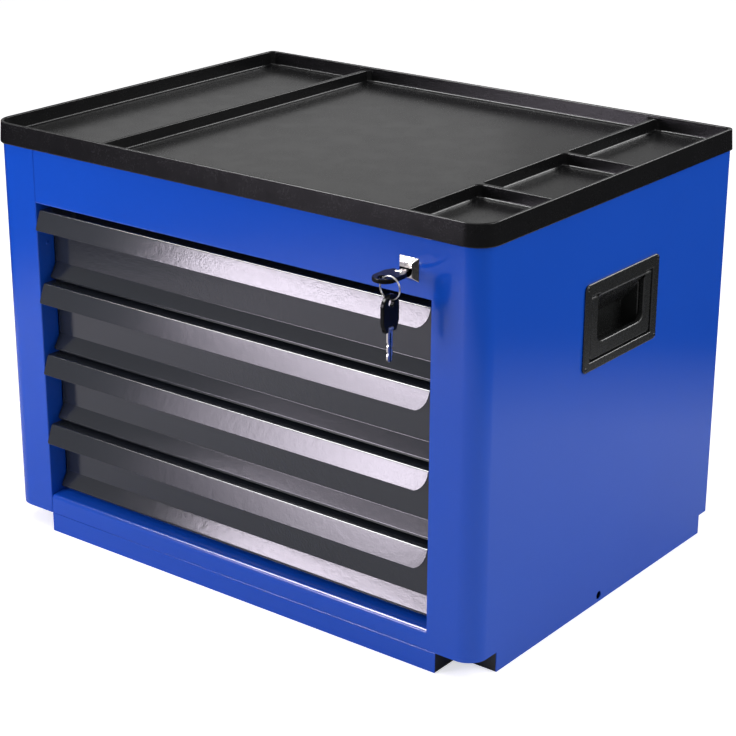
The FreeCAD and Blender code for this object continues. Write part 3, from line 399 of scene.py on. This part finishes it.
def makeStudio():
    size = studio["floorSize"] / metresPerMm / 2
    corners = [(-size, -size, 0), (size, -size, 0), (size, size, 0), (-size, size, 0)]
    floor = meshFrom("floor", corners, [(0, 1, 2, 3)])
    paper = Finish("floorPaper")
    rays = paper.add("ShaderNodeLightPath", {}, {}, "Is Camera Ray")
    gloss = paper.add("ShaderNodeLightPath", {}, {}, "Is Glossy Ray")
    tone = paper.blend(paper.noise(studio["floorMottle"]), *studio["floorColours"])
    out = {0: paper.where, 1: studio["fadeMiddle"]}
    away = paper.add("ShaderNodeVectorMath", {"operation": "DISTANCE"}, out, "Value")
    tone = paper.blend(gloss * paper.band(away, *studio["floorFade"]), tone, studio["fadeColour"])
    seen = rays * studio["floorLift"]
    paper.shade({
        "Base Color": tone,
        "Roughness": 0.9,
        "Specular IOR Level": 0.0,
        "Emission Color": paper.blend(seen, (0, 0, 0, 1), (1, 1, 1, 1)),
        "Emission Strength": 1.0,
    })
    floor.data.materials.append(paper.material)

    makeSoftbox()
    world = bpy.data.worlds.new("surround")
    world.use_nodes = True
    nodes = world.node_tree.nodes
    background = nodes["Background"]
    path = nodes.new("ShaderNodeLightPath")
    shade = nodes.new("ShaderNodeMix")
    shade.inputs["A"].default_value = studio["surround"]
    shade.inputs["B"].default_value = 1.0
    world.node_tree.links.new(path.outputs["Is Camera Ray"], shade.inputs["Factor"])
    world.node_tree.links.new(shade.outputs["Result"], background.inputs["Strength"])
    background.inputs["Color"].default_value = (1, 1, 1, 1)
    bpy.context.scene.world = world

    for name, (place, aim, width, height, watts, matt) in studio["lamps"].items():
        data = bpy.data.lights.new(name, "AREA")
        data.shape = "RECTANGLE"
        data.size = width
        data.size_y = height
        data.energy = watts
        lamp = bpy.data.objects.new(name, data)
        bpy.context.scene.collection.objects.link(lamp)
        lamp.location = place
        lamp.visible_camera = False
        lamp.visible_diffuse = matt
        lamp.rotation_euler = (Vector(aim) - Vector(place)).to_track_quat("-Z", "Y").to_euler()
    bpy.context.scene.view_settings.view_transform = "Standard"


makeStudio()
print("studio placed")


# Paints, plastics and metals

paints = {  # colour, second colour, roughness, specular level, orange peel in mm, its depth in mm
    "bluePaint": (rgb(17, 76, 188), rgb(20, 80, 193), 0.14, 0.42, 2.2, 0.0015),
    "charcoalPaint": (rgb(33, 38, 45), rgb(37, 41, 47), 0.12, 0.62, 1.3, 0.048),
    "blackPaint": (rgb(16, 17, 18), rgb(21, 22, 23), 0.24, 0.6, 1.8, 0.004),
}
plastics = {  # colour, second colour, roughness, specular level, grain in mm, its depth in mm
    "trayPlastic": (rgb(17, 17, 18), rgb(21, 21, 22), 0.24, 0.26, 0.9, 0.004),
    "handlePlastic": (rgb(31, 32, 32), rgb(35, 36, 36), 0.26, 0.5, 0.7, 0.006),
    "keyPlastic": (rgb(9, 9, 9), rgb(13, 13, 13), 0.22, 0.12, 2.6, 0.006),
}
metals = {  # colour, second colour, roughness, grain in mm, its depth in mm
    "chrome": (rgb(206, 204, 200), rgb(192, 190, 188), 0.11, 6.0, 0.001),
    "nickel": (rgb(214, 211, 205), rgb(198, 195, 190), 0.26, 1.2, 0.006),
    "zinc": (rgb(196, 199, 203), rgb(168, 172, 178), 0.34, 9.0, 0.004),
}
surface = {  # sizes in mm, and how far the roughness strays each way
    "paintPatch": 140,
    "paintWave": 5,  # times the orange peel
    "paintStray": (0.03, 0.04),
    "plasticPatch": 60,
    "plasticFine": 1.7,  # times the grain
    "plasticStray": (0.04, 0.05),
    "rubSize": 26,
    "rubBand": (0.45, 0.75),
    "rubShine": 0.05,
    "pitShare": 0.6,  # of the pits in the plastic's bump
    "metalPatch": (0.25, 0.75),
    "metalScuff": 0.4,  # times the grain
    "metalStray": (0.03, 0.07),
    "noiseBand": (0.3, 0.7),
}


def strayed(finish, noise, roughness, stray):  # roughness that varies with a noise
    return finish.band(noise, *surface["noiseBand"], roughness - stray[0], roughness + stray[1])


def paintFinish(name, colour, second, roughness, level, peel, depth):
    finish = Finish(name)
    patches = finish.noise(surface["paintPatch"], detail=3)
    fine = finish.noise(peel, roughness=0.55)
    waves = finish.noise(peel * surface["paintWave"], detail=1)
    finish.shade({
        "Base Color": finish.blend(patches, colour, second),
        "Roughness": strayed(finish, fine, roughness, surface["paintStray"]),
        "Specular IOR Level": level,
        "Normal": finish.bump(fine, depth, under=finish.bump(waves, depth)),
    })
    return finish.material


def plasticFinish(name, colour, second, roughness, level, grain, depth):
    finish = Finish(name)
    patches = finish.noise(surface["plasticPatch"], detail=3)
    pits = finish.cells(grain)
    fine = finish.noise(grain * surface["plasticFine"])
    rubbed = finish.band(finish.noise(surface["rubSize"], detail=5, roughness=0.65), *surface["rubBand"])
    uneven = strayed(finish, fine, roughness, surface["plasticStray"])
    finish.shade({
        "Base Color": finish.blend(patches, colour, second),
        "Roughness": uneven - rubbed * surface["rubShine"],
        "Specular IOR Level": level,
        "Normal": finish.bump(pits * surface["pitShare"] + fine, depth),
    })
    return finish.material


def metalFinish(name, colour, second, roughness, grain, depth):
    finish = Finish(name)
    patches = finish.cells(grain, "Color") if name == "zinc" else finish.noise(grain, detail=3)
    scuffs = finish.noise(grain * surface["metalScuff"], detail=4, roughness=0.6)
    finish.shade({
        "Base Color": finish.blend(finish.band(patches, *surface["metalPatch"]), colour, second),
        "Metallic": 1.0,
        "Roughness": strayed(finish, scuffs, roughness, surface["metalStray"]),
        "Normal": finish.bump(scuffs, depth),
    })
    return finish.material


finishes = {}
for makeFinish, looks in ((paintFinish, paints), (plasticFinish, plastics), (metalFinish, metals)):
    for name, values in looks.items():
        finishes[name] = makeFinish(name, *values)
slotNames = {
    "blue_paint": "bluePaint", "charcoal_paint": "charcoalPaint", "black_paint": "blackPaint",
    "tray_plastic": "trayPlastic", "handle_plastic": "handlePlastic", "key_plastic": "keyPlastic",
    "chrome": "chrome", "nickel": "nickel", "zinc": "zinc",
}


def fit(piece, body, slot, *nodes):  # finish, body and the nodes it stands for
    piece.data.materials.clear()
    piece.data.materials.append(finishes[slotNames[slot]])
    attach(piece, body)
    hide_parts(*nodes)


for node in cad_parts.values():
    slot = node.data.materials[0].name.split(".")[0]
    for index in range(len(node.data.materials)):
        node.data.materials[index] = finishes[slotNames[slot]]
print("finishes made")


# Steel body

body = {
    "half": 290,
    "front": -210,
    "back": 210,
    "sheet": 1.2,
    "opening": 237.5,
    "cornerRadius": 20,
    "edgeBend": 1.3,
    "bendSteps": 18,
    "jamb": 22,
    "rearFold": 15,
    "rearBend": 2,
    "height": 407,
    "plinth": 20,
    "sidePlinth": (-174, 195),
    "cupHole": ((-44.5, 72.5), (254.75, 325.25)),
    "boltHole": (0, 7, 4),
    "railBottom": 350,
    "railReturn": 18,
    "railBend": 2,
    "railEnds": (-237.1, 239.0),
    "lock": (214.5, 374, 6.25),
    "sill": (40, 42, 20),
    "sillBend": 5,
    "sillFoot": 20.3,
    "plinthEnds": (-237.5, 247.5),
    "edge": 0.3,
}


def makeSide(word, side):
    half, front, back = body["half"], body["front"], body["back"]
    (cupNear, cupFar), (cupLow, cupHigh) = body["cupHole"]
    plinthNear, plinthFar = body["sidePlinth"]
    corners = [(body["opening"], front + body["jamb"]), (body["opening"], front), (half, front)]
    corners += [(half, y) for y in (plinthNear, cupNear, cupFar, plinthFar, back)]
    corners.append((half - body["rearFold"], back))
    radii = [body["edgeBend"], body["cornerRadius"], 0, 0, 0, 0, body["rearBend"]]
    if side < 0:
        corners = [(-x, y) for x, y in reversed(corners)]
        radii.reverse()
    trail = bendPath(corners, radii, body["bendSteps"])
    panTop = body["plinth"] + body["sheet"]
    deckUnder = body["height"] - body["sheet"]
    stops = (0, body["plinth"], panTop, cupLow, cupHigh, deckUnder, body["height"])
    slack = 0.01

    def keep(spot, z):
        onSide = abs(spot.x) > half - slack
        if z < body["plinth"]:
            return onSide and plinthNear < spot.y < plinthFar
        if onSide and cupNear < spot.y < cupFar and cupLow < z < cupHigh:
            return False
        inJamb = abs(spot.x) < body["opening"] + slack
        return not inJamb or panTop < z < deckUnder

    panel = foldedSheet(word + "Side", "xy", trail, body["sheet"], stops, keep)
    y, z, radius = body["boltHole"]
    reach = sorted((side * (half - 3 * past), side * (half + past)))
    combine(panel, [rod("boltHole", "x", (y, z), radius, *reach)])
    soften(panel, body["edge"])
    fit(panel, "cabinet", "blue_paint", word + "_side_panel")


def makeRails():
    front, sheet = body["front"], body["sheet"]
    top = body["height"] - sheet
    path = [
        (front + body["railReturn"], top), (front, top),
        (front, body["railBottom"]), (front + body["railReturn"], body["railBottom"]),
    ]
    trail = bendPath(path, (body["railBend"],) * 2)
    rail = foldedSheet("upperRail", "yz", trail, sheet, body["railEnds"])
    x, z, radius = body["lock"]
    combine(rail, [rod("lockHole", "y", (x, z), radius, front - past, front + sheet + past)])
    soften(rail, body["edge"])
    fit(rail, "cabinet", "blue_paint", "upper_front_rail")

    level, rear, depth = body["sill"]
    path = [(front + depth, rear), (front, level), (front, body["sillFoot"])]
    sill = foldedSheet("sill", "yz", bendPath(path, (body["sillBend"],)), sheet, body["railEnds"])
    soften(sill, body["edge"])
    fit(sill, "cabinet", "blue_paint", "sill_rail")

    plinth = block("plinth", body["plinthEnds"], (front, front + sheet), (0, body["plinth"]))
    soften(plinth, body["edge"])
    fit(plinth, "cabinet", "blue_paint", "front_plinth")


makeSide("left", -1)
makeSide("right", 1)
makeRails()
print("body built")


# Moulded tray

tray = {
    "halfWidth": 291.53,  # at the rim
    "halfDepth": 211.53,
    "rimTop": 425,
    "bottom": 404,
    "deck": 407,
    "floor": 410,
    "dividerTop": 422,
    "slope": math.tan(math.radians(4)),
    "rim": 3,
    "corner": 21.53,
    "backCorner": 6,
    "wellCorner": 6,
    "fillet": 2.2,
    "filletSteps": 5,
    "mouthCorner": 2,  # rounder than the wells, whose corners stay the ones seen
    "nestGap": 0.4,
    "edge": 1.0,
    "columns": ((-288.53, -155.53), (-151.53, 202.53), (206.53, 288.53)),
    "cups": ((-208.53, -98.53), (-94.53, 39.47), (43.47, 208.53)),
}


def makeTray():
    wide, deep, top, slope = tray["halfWidth"], tray["halfDepth"], tray["rimTop"], tray["slope"]
    fall = top - tray["bottom"]
    radii = (tray["corner"], tray["corner"], tray["backCorner"], tray["backCorner"])
    outside = [(tray["bottom"], -fall * slope), (top, 0)]
    piece = roundedBlock("topTray", "z", (-wide, wide), (-deep, deep), radii, outside)

    def well(name, x, y, radii, floor, fillet):
        above = 2 * past
        inset = (top - floor - fillet) * slope
        levels = [(top + above, -above * slope), (floor + fillet, inset)]
        steps = tray["filletSteps"] if fillet else 0
        for step in range(1, steps + 1):
            angle = math.pi / 2 * step / steps
            drop = fillet * math.sin(angle)
            levels.append((floor + fillet - drop, inset + fillet * (1 - math.cos(angle))))
        return roundedBlock(name, "z", x, y, radii, levels)

    inner = tray["corner"] - tray["rim"]
    tight = tray["wellCorner"]
    left, middle, right = tray["columns"]
    fullDepth = (tray["cups"][0][0], tray["cups"][-1][1])
    whole = (left[0], right[1])
    floor, fillet = tray["floor"], tray["fillet"]
    mouthRadii = [radius + tray["mouthCorner"] for radius in (inner, inner, tight, tight)]
    tools = [
        well("mouth", whole, fullDepth, mouthRadii, tray["dividerTop"], 0),
        well("leftWell", left, fullDepth, (inner, tight, tight, tight), floor, fillet),
        well("mainWell", middle, fullDepth, (tight,) * 4, floor, fillet),
    ]
    for index, cup in enumerate(tray["cups"]):
        corner = inner if index == 0 else tight
        tools.append(well(f"cup{index}", right, cup, (tight, corner, tight, tight), floor, fillet))
    gap = tray["nestGap"]
    across, along = body["half"] + gap, body["back"] + gap
    corner = body["cornerRadius"] + gap
    nestRadii = (corner, corner, 0, 0)
    nest = [(tray["bottom"] - past, 0), (tray["deck"], 0)]
    tools.append(roundedBlock("nest", "z", (-across, across), (-along, along), nestRadii, nest))
    combine(piece, tools)
    soften(piece, tray["edge"], segments=3)
    fit(piece, "cabinet", "tray_plastic", "top_tray")


makeTray()
print("tray built")


# Drawer fronts

drawer = {
    "edges": (45.5, 120.5, 195.5, 270.5),
    "height": 72.5,
    "halfWidth": 235.5,
    "sheet": 1.2,
    "face": -187.8,  # back of the front's face
    "lip": (-214, 19, -206.5),
    "slope": (15.5, -197.5),
    "hem": 5,
    "bends": (0.9, 2, 2, 2),  # times the sheet
    "bendSteps": 8,
    "cornerSteps": 16,
    "between": -199.5,  # behind the lip and in front of the slope's bend
    "lipCorners": (3, 15),
    "slopeCorners": (4, 10),
    "edge": 0.35,
}


def cornerCutter(name, side, radius, y, low):
    end = drawer["halfWidth"]
    outline = [(end + past, low + radius), (end + past, low - past), (end - radius, low - past)]
    steps = drawer["cornerSteps"]
    for step in range(steps + 1):
        angle = math.pi / 2 * step / steps
        outline.append((end - radius + radius * math.sin(angle), low + radius - radius * math.cos(angle)))
    return prism(name, "y", [(side * x, z) for x, z in outline], *y)


def makeFront(index, edge):
    sheet, face = drawer["sheet"], drawer["face"]
    top = edge + drawer["height"]
    lipFoot, lipHeight, lipTop = drawer["lip"]
    slopeRise, slopeFoot = drawer["slope"]
    path = [
        (slopeFoot + drawer["hem"], edge + drawer["hem"] / 3),
        (slopeFoot, edge),
        (face, edge + slopeRise),
        (face, top), (lipTop, top), (lipFoot, top - lipHeight),
    ]
    trail = bendPath(path, [share * sheet for share in drawer["bends"]], drawer["bendSteps"])
    end = drawer["halfWidth"]
    front = foldedSheet(f"drawer{index}Front", "yz", trail, sheet, (-end, end))
    lipReach = (lipFoot - 2 * past, drawer["between"])
    slopeReach = (drawer["between"], face + 2 * past)
    cutters = []
    for side, lipCorner, slopeCorner in zip((-1, 1), drawer["lipCorners"], drawer["slopeCorners"]):
        lipLow = top - lipHeight - sheet / 2
        cutters.append(cornerCutter("lipCorner", side, lipCorner, lipReach, lipLow))
        cutters.append(cornerCutter("slopeCorner", side, slopeCorner, slopeReach, edge - sheet))
    combine(front, cutters)
    soften(front, drawer["edge"], segments=3, angle=40)
    fit(front, f"drawer_{index}", "charcoal_paint", f"drawer_{index}_front")


for index, edge in enumerate(drawer["edges"], start=1):
    makeFront(index, edge)
print("drawer fronts built")


# Handles: recessed frame, finger pocket and folding grip

handle = {
    "middle": (14, 290),
    "frame": (128, 84, 2.2),
    "frameCorner": 5,
    "cup": (116, 69.5, 26),
    "grip": (105, 57.5),  # across, and from the pins down
    "arm": 12,
    "bar": 14,
    "gripSheet": 6,
    "gripBack": 284.5,
    "pins": (288, 315.5),
    "pinBore": 1.55,
    "roundSteps": 32,
    "play": 1.5,
    "gripCorner": 9,
    "pocket": ((294.4, 320.7), (266, 287.5), (266, 262), (294.4, 262)),
    "frameEdge": 1.0,
    "gripEdge": 1.3,
}


def makeHandle(word, side):
    def out(near, far):
        return tuple(sorted((side * near, side * far)))

    y, z = handle["middle"]
    half = body["half"]
    wide, high, proud = handle["frame"]
    corner = (handle["frameCorner"],) * 4
    levels = [(side * half, 0), (side * (half + proud), 0)]
    flangeY, flangeZ = (y - wide / 2, y + wide / 2), (z - high / 2, z + high / 2)
    frameName, gripName = word + "HandleFrame", word + "Grip"
    flange = roundedBlock(frameName, "x", flangeY, flangeZ, corner, levels)
    cupWide, cupHigh, cupDeep = handle["cup"]
    cupY, cupZ = (y - cupWide / 2, y + cupWide / 2), (z - cupHigh / 2, z + cupHigh / 2)
    combine(flange, [block("cup", out(half - cupDeep, half + past / 2), cupY, cupZ)], "UNION")

    gripWide, gripDrop = handle["grip"]
    pinX, pinZ = handle["pins"]
    play, arm, bar, thick = handle["play"], handle["arm"], handle["bar"], handle["gripSheet"]
    low = pinZ - gripDrop
    outer = gripWide / 2 + play
    inner = gripWide / 2 - arm
    ways = out(handle["gripBack"], half + proud + past)
    channelTop = pinZ + thick / 2 + play
    tools = [
        block("barWay", ways, (y - outer, y + outer), (low - play, low + bar + play)),
        block("nearArmWay", ways, (y - outer, y - inner), (low - play, channelTop)),
        block("farArmWay", ways, (y + inner, y + outer), (low - play, channelTop)),
        prism("pocket", "y", [(side * u, v) for u, v in handle["pocket"]], y - inner, y + inner),
    ]
    combine(flange, tools)
    soften(flange, handle["frameEdge"], segments=3)
    fit(flange, "cabinet", "handle_plastic", word + "_handle_frame")

    corner = handle["gripCorner"]
    sheetX = out(pinX - thick / 2, pinX + thick / 2)
    plateRadii = (corner / 2, corner / 2, 0, 0)
    plateLevels = [(sheetX[0], 0), (sheetX[1], 0)]
    plateY = (y - gripWide / 2, y + gripWide / 2)
    grip = roundedBlock(gripName, "x", plateY, (low, pinZ), plateRadii, plateLevels)
    steps = handle["roundSteps"]
    knuckle = rod("knuckle", "y", (side * pinX, pinZ), thick / 2, *plateY, steps)
    combine(grip, [knuckle], "UNION")
    windowLevels = [(sheetX[0] - past, 0), (sheetX[1] + past, 0)]
    windowRadii = (corner, corner, 0, 0)
    windowY, windowZ = (y - inner, y + inner), (low + bar, pinZ + thick)
    window = roundedBlock("window", "x", windowY, windowZ, windowRadii, windowLevels)
    boreReach = (plateY[0] - past, plateY[1] + past)
    bore = rod("bore", "y", (side * pinX, pinZ), handle["pinBore"], *boreReach, steps)
    combine(grip, [window, bore])
    soften(grip, handle["gripEdge"], segments=3)
    fit(grip, word + "_bail", "handle_plastic", word + "_handle_bail")


makeHandle("left", -1)
makeHandle("right", 1)
print("handles built")


# Lock plate

lock = {
    "axis": (214.5, 374),
    "plate": 21,
    "face": 13,
    "rise": 5,
    "bore": 6.25,
    "boreSteps": 64,
    "edge": 0.35,
}


def makeLockPlate():
    x, z = lock["axis"]
    front = body["front"]
    loops = []
    face = front - lock["rise"]
    for width, y in ((lock["plate"], front), (lock["face"], face)):
        half = width / 2
        loops.append([(x + a * half, y, z + b * half) for a, b in ((-1, -1), (1, -1), (1, 1), (-1, 1))])
    plate = loft("lockPlate", loops)
    bore = rod("plateBore", "y", (x, z), lock["bore"], face - past, front + past, lock["boreSteps"])
    combine(plate, [bore])
    soften(plate, lock["edge"], segments=3, angle=20)
    fit(plate, "cabinet", "chrome", "lock_escutcheon")


makeLockPlate()


# Keys and split ring

key = {
    "axisY": -224.2,
    "width": 6.6,
    "sheet": 1.8,
    "gap": 9.5,
    "insert": 20,
    "tip": 2.6,
    "eye": 2,
    "eyeSteps": 32,
    "pin": 0.7,
    "pinWay": 0.75,
    "pinInset": 0.35,
    "smallSteps": 24,
    "groove": (0.6, 3.5, 0.3),  # half width, start and depth
    "bladeEdge": 0.15,
    "head": (33, 22, 4),
    "headFront": 2.5,
    "headSteps": 24,
    "headEdge": 0.9,
    "forkPlay": 0.15,
    "shoulder": 14.5,
    "taper": 8.25,
    "hole": 3.6,
    "holeEnd": 7.5,
    "holeSteps": 40,
    "bites": ((1, 1.1), (-1, 1.3), (1, 1.0), (-1, 1.2)),
    "ring": (222.41, -247.2, 368),
    "ringRadius": 10.25,
    "ringWire": 0.46,
    "ringEdge": 0.12,
    "ringStep": 0.42,
    "ringCross": (0.93, 0.14),  # turns before the wire crosses over, and while it does
    "ringStart": 130,
    "ringSteps": (150, 10),
    "spareAxis": 332.25,
}


def makeBlade(name):
    half, sheet = key["width"] / 2, key["sheet"] / 2
    length, tip = key["gap"] + key["insert"], key["tip"]
    outline = [(-half, 0), (half, 0), (half, length - tip), (half - tip, length)]
    outline += [(tip - half, length), (-half, length - tip)]
    blade = prism(name, "z", outline, -sheet, sheet)
    eye, steps = key["eye"], key["smallSteps"]
    combine(blade, [rod("eye", "x", (0, 0), eye, -half, half, key["eyeSteps"])], "UNION")
    tools = [rod("eyeHole", "x", (0, 0), key["pinWay"], -half - past, half + past, steps)]
    for index, (side, depth) in enumerate(key["bites"], start=1):
        along = key["gap"] + index * key["insert"] / (len(key["bites"]) + 1)
        biteAt = (side * (half + eye - depth), along)
        tools.append(rod("bite", "z", biteAt, eye, -2 * past, 2 * past, steps))
    grooveHalf, grooveStart, grooveDepth = key["groove"]
    for side in (-1, 1):
        groove = sorted((side * (sheet - grooveDepth), side * (sheet + past)))
        tools.append(block("groove", (-grooveHalf, grooveHalf), (grooveStart, length + past), groove))
    combine(blade, tools)
    return soften(blade, key["bladeEdge"])


def makeHead(name):
    length, width, thick = key["head"]
    top = key["headFront"]
    half = width / 2
    end = top - length + half
    shoulder = key["shoulder"] / 2
    low, steps = top - key["taper"], key["headSteps"]
    outline = [(half, low), (shoulder, top), (-shoulder, top), (-half, low)]
    for step in range(steps + 1):
        angle = math.pi * step / steps
        outline.append((-half * math.cos(angle), end - half * math.sin(angle)))
    head = prism(name, "z", outline, -thick / 2, thick / 2)
    slot = key["width"] / 2 + key["forkPlay"]
    holeAt = (0, top - length + key["holeEnd"])
    tools = [
        block("fork", (-slot, slot), (-top, top + past), (-thick, thick)),
        rod("ringHole", "z", holeAt, key["hole"], -thick, thick, key["holeSteps"]),
        rod("pinWay", "x", (0, 0), key["pinWay"], -width, width, key["smallSteps"]),
    ]
    combine(head, tools)
    return soften(head, key["headEdge"], segments=4)


def makePin(name):
    reach = key["shoulder"] / 2 - key["pinInset"]
    pin = rod(name, "x", (0, 0), key["pin"], -reach, reach, key["smallSteps"])
    return soften(pin, key["bladeEdge"])


def moveMesh(piece, matrix):
    piece.data.transform(matrix)
    return piece


def makeKeys():
    x, z = lock["axis"]
    mm = metresPerMm
    inLock = Matrix.Translation(Vector((x, key["axisY"], z)) * mm)
    hanging = Matrix(((0, 0, 1, 0), (-1, 0, 0, 0), (0, -1, 0, 0), (0, 0, 0, 1)))
    ringX, ringY = key["ring"][:2]
    spare = Matrix.Translation(Vector((ringX, ringY, key["spareAxis"])) * mm) @ hanging
    for name, node, matrix, bladeBody, headBody, pinBody in (
        ("Key", "key", inLock, "key", "key_head", "key"),
        ("spareKey", "spare_key", spare, "spare_blade", "spare_key", "spare_key"),
    ):
        blade = moveMesh(makeBlade(name + "Blade"), matrix)
        fit(blade, bladeBody, "nickel", node + "_blade")
        head = moveMesh(makeHead(name + "Head"), matrix)
        fit(head, headBody, "key_plastic", node + "_head")
        pin = moveMesh(makePin(name + "Pin"), matrix)
        fit(pin, pinBody, "nickel", node + "_pin")
    makeRing()


def makeRing():  # two turns of wire that cross over halfway
    steps, around = key["ringSteps"]
    crossStart, crossing = key["ringCross"]
    loops = []
    for step in range(steps + 1):
        turns = 2 * step / steps
        cross = min(max((turns - crossStart) / crossing, 0), 1)
        side = -key["ringStep"] + 2 * key["ringStep"] * cross * cross * (3 - 2 * cross)
        angle = math.radians(key["ringStart"]) + math.tau * turns
        out = Vector((math.cos(angle), 0, math.sin(angle)))
        middle = Vector(key["ring"]) + out * key["ringRadius"] + Vector((0, side, 0))
        ring = []
        for k in range(around):
            spin = math.tau * k / around
            across = out * math.cos(spin) + Vector((0, math.sin(spin), 0))
            ring.append(middle + across * key["ringWire"])
        loops.append(ring)
    ring = loft("splitRing", loops)
    soften(ring, key["ringEdge"], angle=60)
    fit(ring, "key_ring", "nickel", "key_ring")


makeKeys()
print("lock plate and keys built")


# Screws and rivets, set out by geometry nodes

fastener = {
    "inputs": {"Head Radius": 2.2, "Head Rise": 0.9, "Recess Width": 0.7, "Recess Length": 2.6},
    "recessed": {"screw": True, "rivet": False},
    "recessDepths": (0.9, 0.84),  # shares of the rise, with no two floors in one plane
    "domeSteps": (24, 12),
    "seed": 7,
    "shadeAngle": 40,
    "screwShift": 0.3,
    "jambSpot": (-197, 307),
    "backSpot": 281.9,
    "backRows": 3,
    "backLift": 10,
}


def makeFastenerTree():
    tree = bpy.data.node_groups.new("fasteners", "GeometryNodeTree")
    tree.is_modifier = True
    face = tree.interface
    face.new_socket("Geometry", in_out="INPUT", socket_type="NodeSocketGeometry")
    for name in fastener["inputs"]:
        face.new_socket(name, in_out="INPUT", socket_type="NodeSocketFloat")
    face.new_socket("Recess", in_out="INPUT", socket_type="NodeSocketBool")
    face.new_socket("Seed", in_out="INPUT", socket_type="NodeSocketInt")
    face.new_socket("Finish", in_out="INPUT", socket_type="NodeSocketMaterial")
    face.new_socket("Geometry", in_out="OUTPUT", socket_type="NodeSocketGeometry")

    def add(kind, settings, sockets, output=0):
        node = tree.nodes.new(kind)
        for key, value in settings.items():
            setattr(node, key, value)
        for key, value in sockets.items():
            if isinstance(value, bpy.types.NodeSocket):
                tree.links.new(value, node.inputs[key])
            elif isinstance(value, list):
                for link in value:
                    tree.links.new(link, node.inputs[key])
            else:
                node.inputs[key].default_value = value
        return node.outputs[output]

    given = tree.nodes.new("NodeGroupInput").outputs
    radius, rise = given["Head Radius"], given["Head Rise"]
    segments, rings = fastener["domeSteps"]
    dome = add("GeometryNodeMeshUVSphere", {}, {"Segments": segments, "Rings": rings, "Radius": 1.0})
    stretch = add("ShaderNodeCombineXYZ", {}, {"X": radius, "Y": radius, "Z": rise})
    head = add("GeometryNodeTransform", {}, {"Geometry": dome, "Scale": stretch})
    bars = []
    length, width = given["Recess Length"], given["Recess Width"]
    for sizes, share in zip(((length, width), (width, length)), fastener["recessDepths"]):
        deep = add("ShaderNodeMath", {"operation": "MULTIPLY"}, {0: rise, 1: share})
        size = add("ShaderNodeCombineXYZ", {}, {"X": sizes[0], "Y": sizes[1], "Z": deep})
        lift = add("ShaderNodeCombineXYZ", {}, {"Z": rise})
        bar = add("GeometryNodeMeshCube", {}, {"Size": size})
        bars.append(add("GeometryNodeTransform", {}, {"Geometry": bar, "Translation": lift}))
    cut = {"Mesh 1": head, "Mesh 2": bars}
    crossed = add("GeometryNodeMeshBoolean", {"operation": "DIFFERENCE"}, cut)
    choice = {"Switch": given["Recess"], "False": head, "True": crossed}
    chosen = add("GeometryNodeSwitch", {"input_type": "GEOMETRY"}, choice)
    facing = add("GeometryNodeInputNamedAttribute", {"data_type": "FLOAT_VECTOR"}, {"Name": "facing"})
    spread = {"Min": 0.0, "Max": math.pi, "Seed": given["Seed"]}
    spin = add("FunctionNodeRandomValue", {"data_type": "FLOAT"}, spread, 1)
    own = add("FunctionNodeEulerToRotation", {}, {"Euler": add("ShaderNodeCombineXYZ", {}, {"Z": spin})})
    turn = add("FunctionNodeAlignRotationToVector", {"axis": "Z"}, {"Vector": facing})
    both = {"Rotation": turn, "Rotate By": own}
    turned = add("FunctionNodeRotateRotation", {"rotation_space": "LOCAL"}, both)
    heads = {"Points": given["Geometry"], "Instance": chosen, "Rotation": turned}
    placed = add("GeometryNodeInstanceOnPoints", {}, heads)
    real = add("GeometryNodeRealizeInstances", {}, {"Geometry": placed})
    painted = add("GeometryNodeSetMaterial", {}, {"Geometry": real, "Material": given["Finish"]})
    result = tree.nodes.new("NodeGroupOutput")
    tree.links.new(painted, result.inputs["Geometry"])
    return tree


fastenerTree = makeFastenerTree()


def setFasteners(name, kind, slot, node, spots):  # spots are pairs of place in mm and direction
    mesh = bpy.data.meshes.new(name)
    mesh.from_pydata([Vector(place) * metresPerMm for place, direction in spots], [], [])
    facing = mesh.attributes.new("facing", "FLOAT_VECTOR", "POINT")
    for item, (place, direction) in zip(facing.data, spots):
        item.vector = direction
    heads = bpy.data.objects.new(name, mesh)
    bpy.context.scene.collection.objects.link(heads)
    modifier = heads.modifiers.new("heads", "NODES")
    modifier.node_group = fastenerTree
    values = {name: size * metresPerMm for name, size in fastener["inputs"].items()}
    values["Recess"] = fastener["recessed"][kind]
    values["Seed"] = fastener["seed"]
    values["Finish"] = finishes[slotNames[slot]]
    for item in fastenerTree.interface.items_tree:
        if item.in_out == "INPUT" and item.name in values:
            modifier[item.identifier] = values[item.name]
    settle(heads)
    heads.data.shade_smooth()
    heads.data.set_sharp_from_angle(angle=math.radians(fastener["shadeAngle"]))
    fit(heads, "cabinet", slot, node)


def makeFasteners():
    y, z = handle["middle"]
    wide, high, proud = handle["frame"]
    cupWide, cupHigh, cupDeep = handle["cup"]
    insetY, insetZ = (wide + cupWide) / 4 - fastener["screwShift"], (high + cupHigh) / 4
    face = body["half"] + proud
    screws = []
    for side in (-1, 1):
        for ahead, above in ((-1, -1), (1, -1), (1, 1), (-1, 1)):
            screws.append(((side * face, y + ahead * insetY, z + above * insetZ), (side, 0, 0)))
    setFasteners("handleScrews", "screw", "black_paint", "handle_screws", screws)
    jambs = [((side * body["opening"], *fastener["jambSpot"]), (-side, 0, 0)) for side in (-1, 1)]
    setFasteners("jambRivets", "rivet", "blue_paint", "jamb_rivets", jambs)
    rivets = []
    rows = fastener["backRows"]
    for side in (-1, 1):
        for row in range(1, rows + 1):
            rise = body["height"] * row / (rows + 1) + fastener["backLift"]
            rivets.append(((side * fastener["backSpot"], body["back"], rise), (0, 1, 0)))
    setFasteners("backRivets", "rivet", "zinc", "back_rivets", rivets)


makeFasteners()
print("fasteners set")
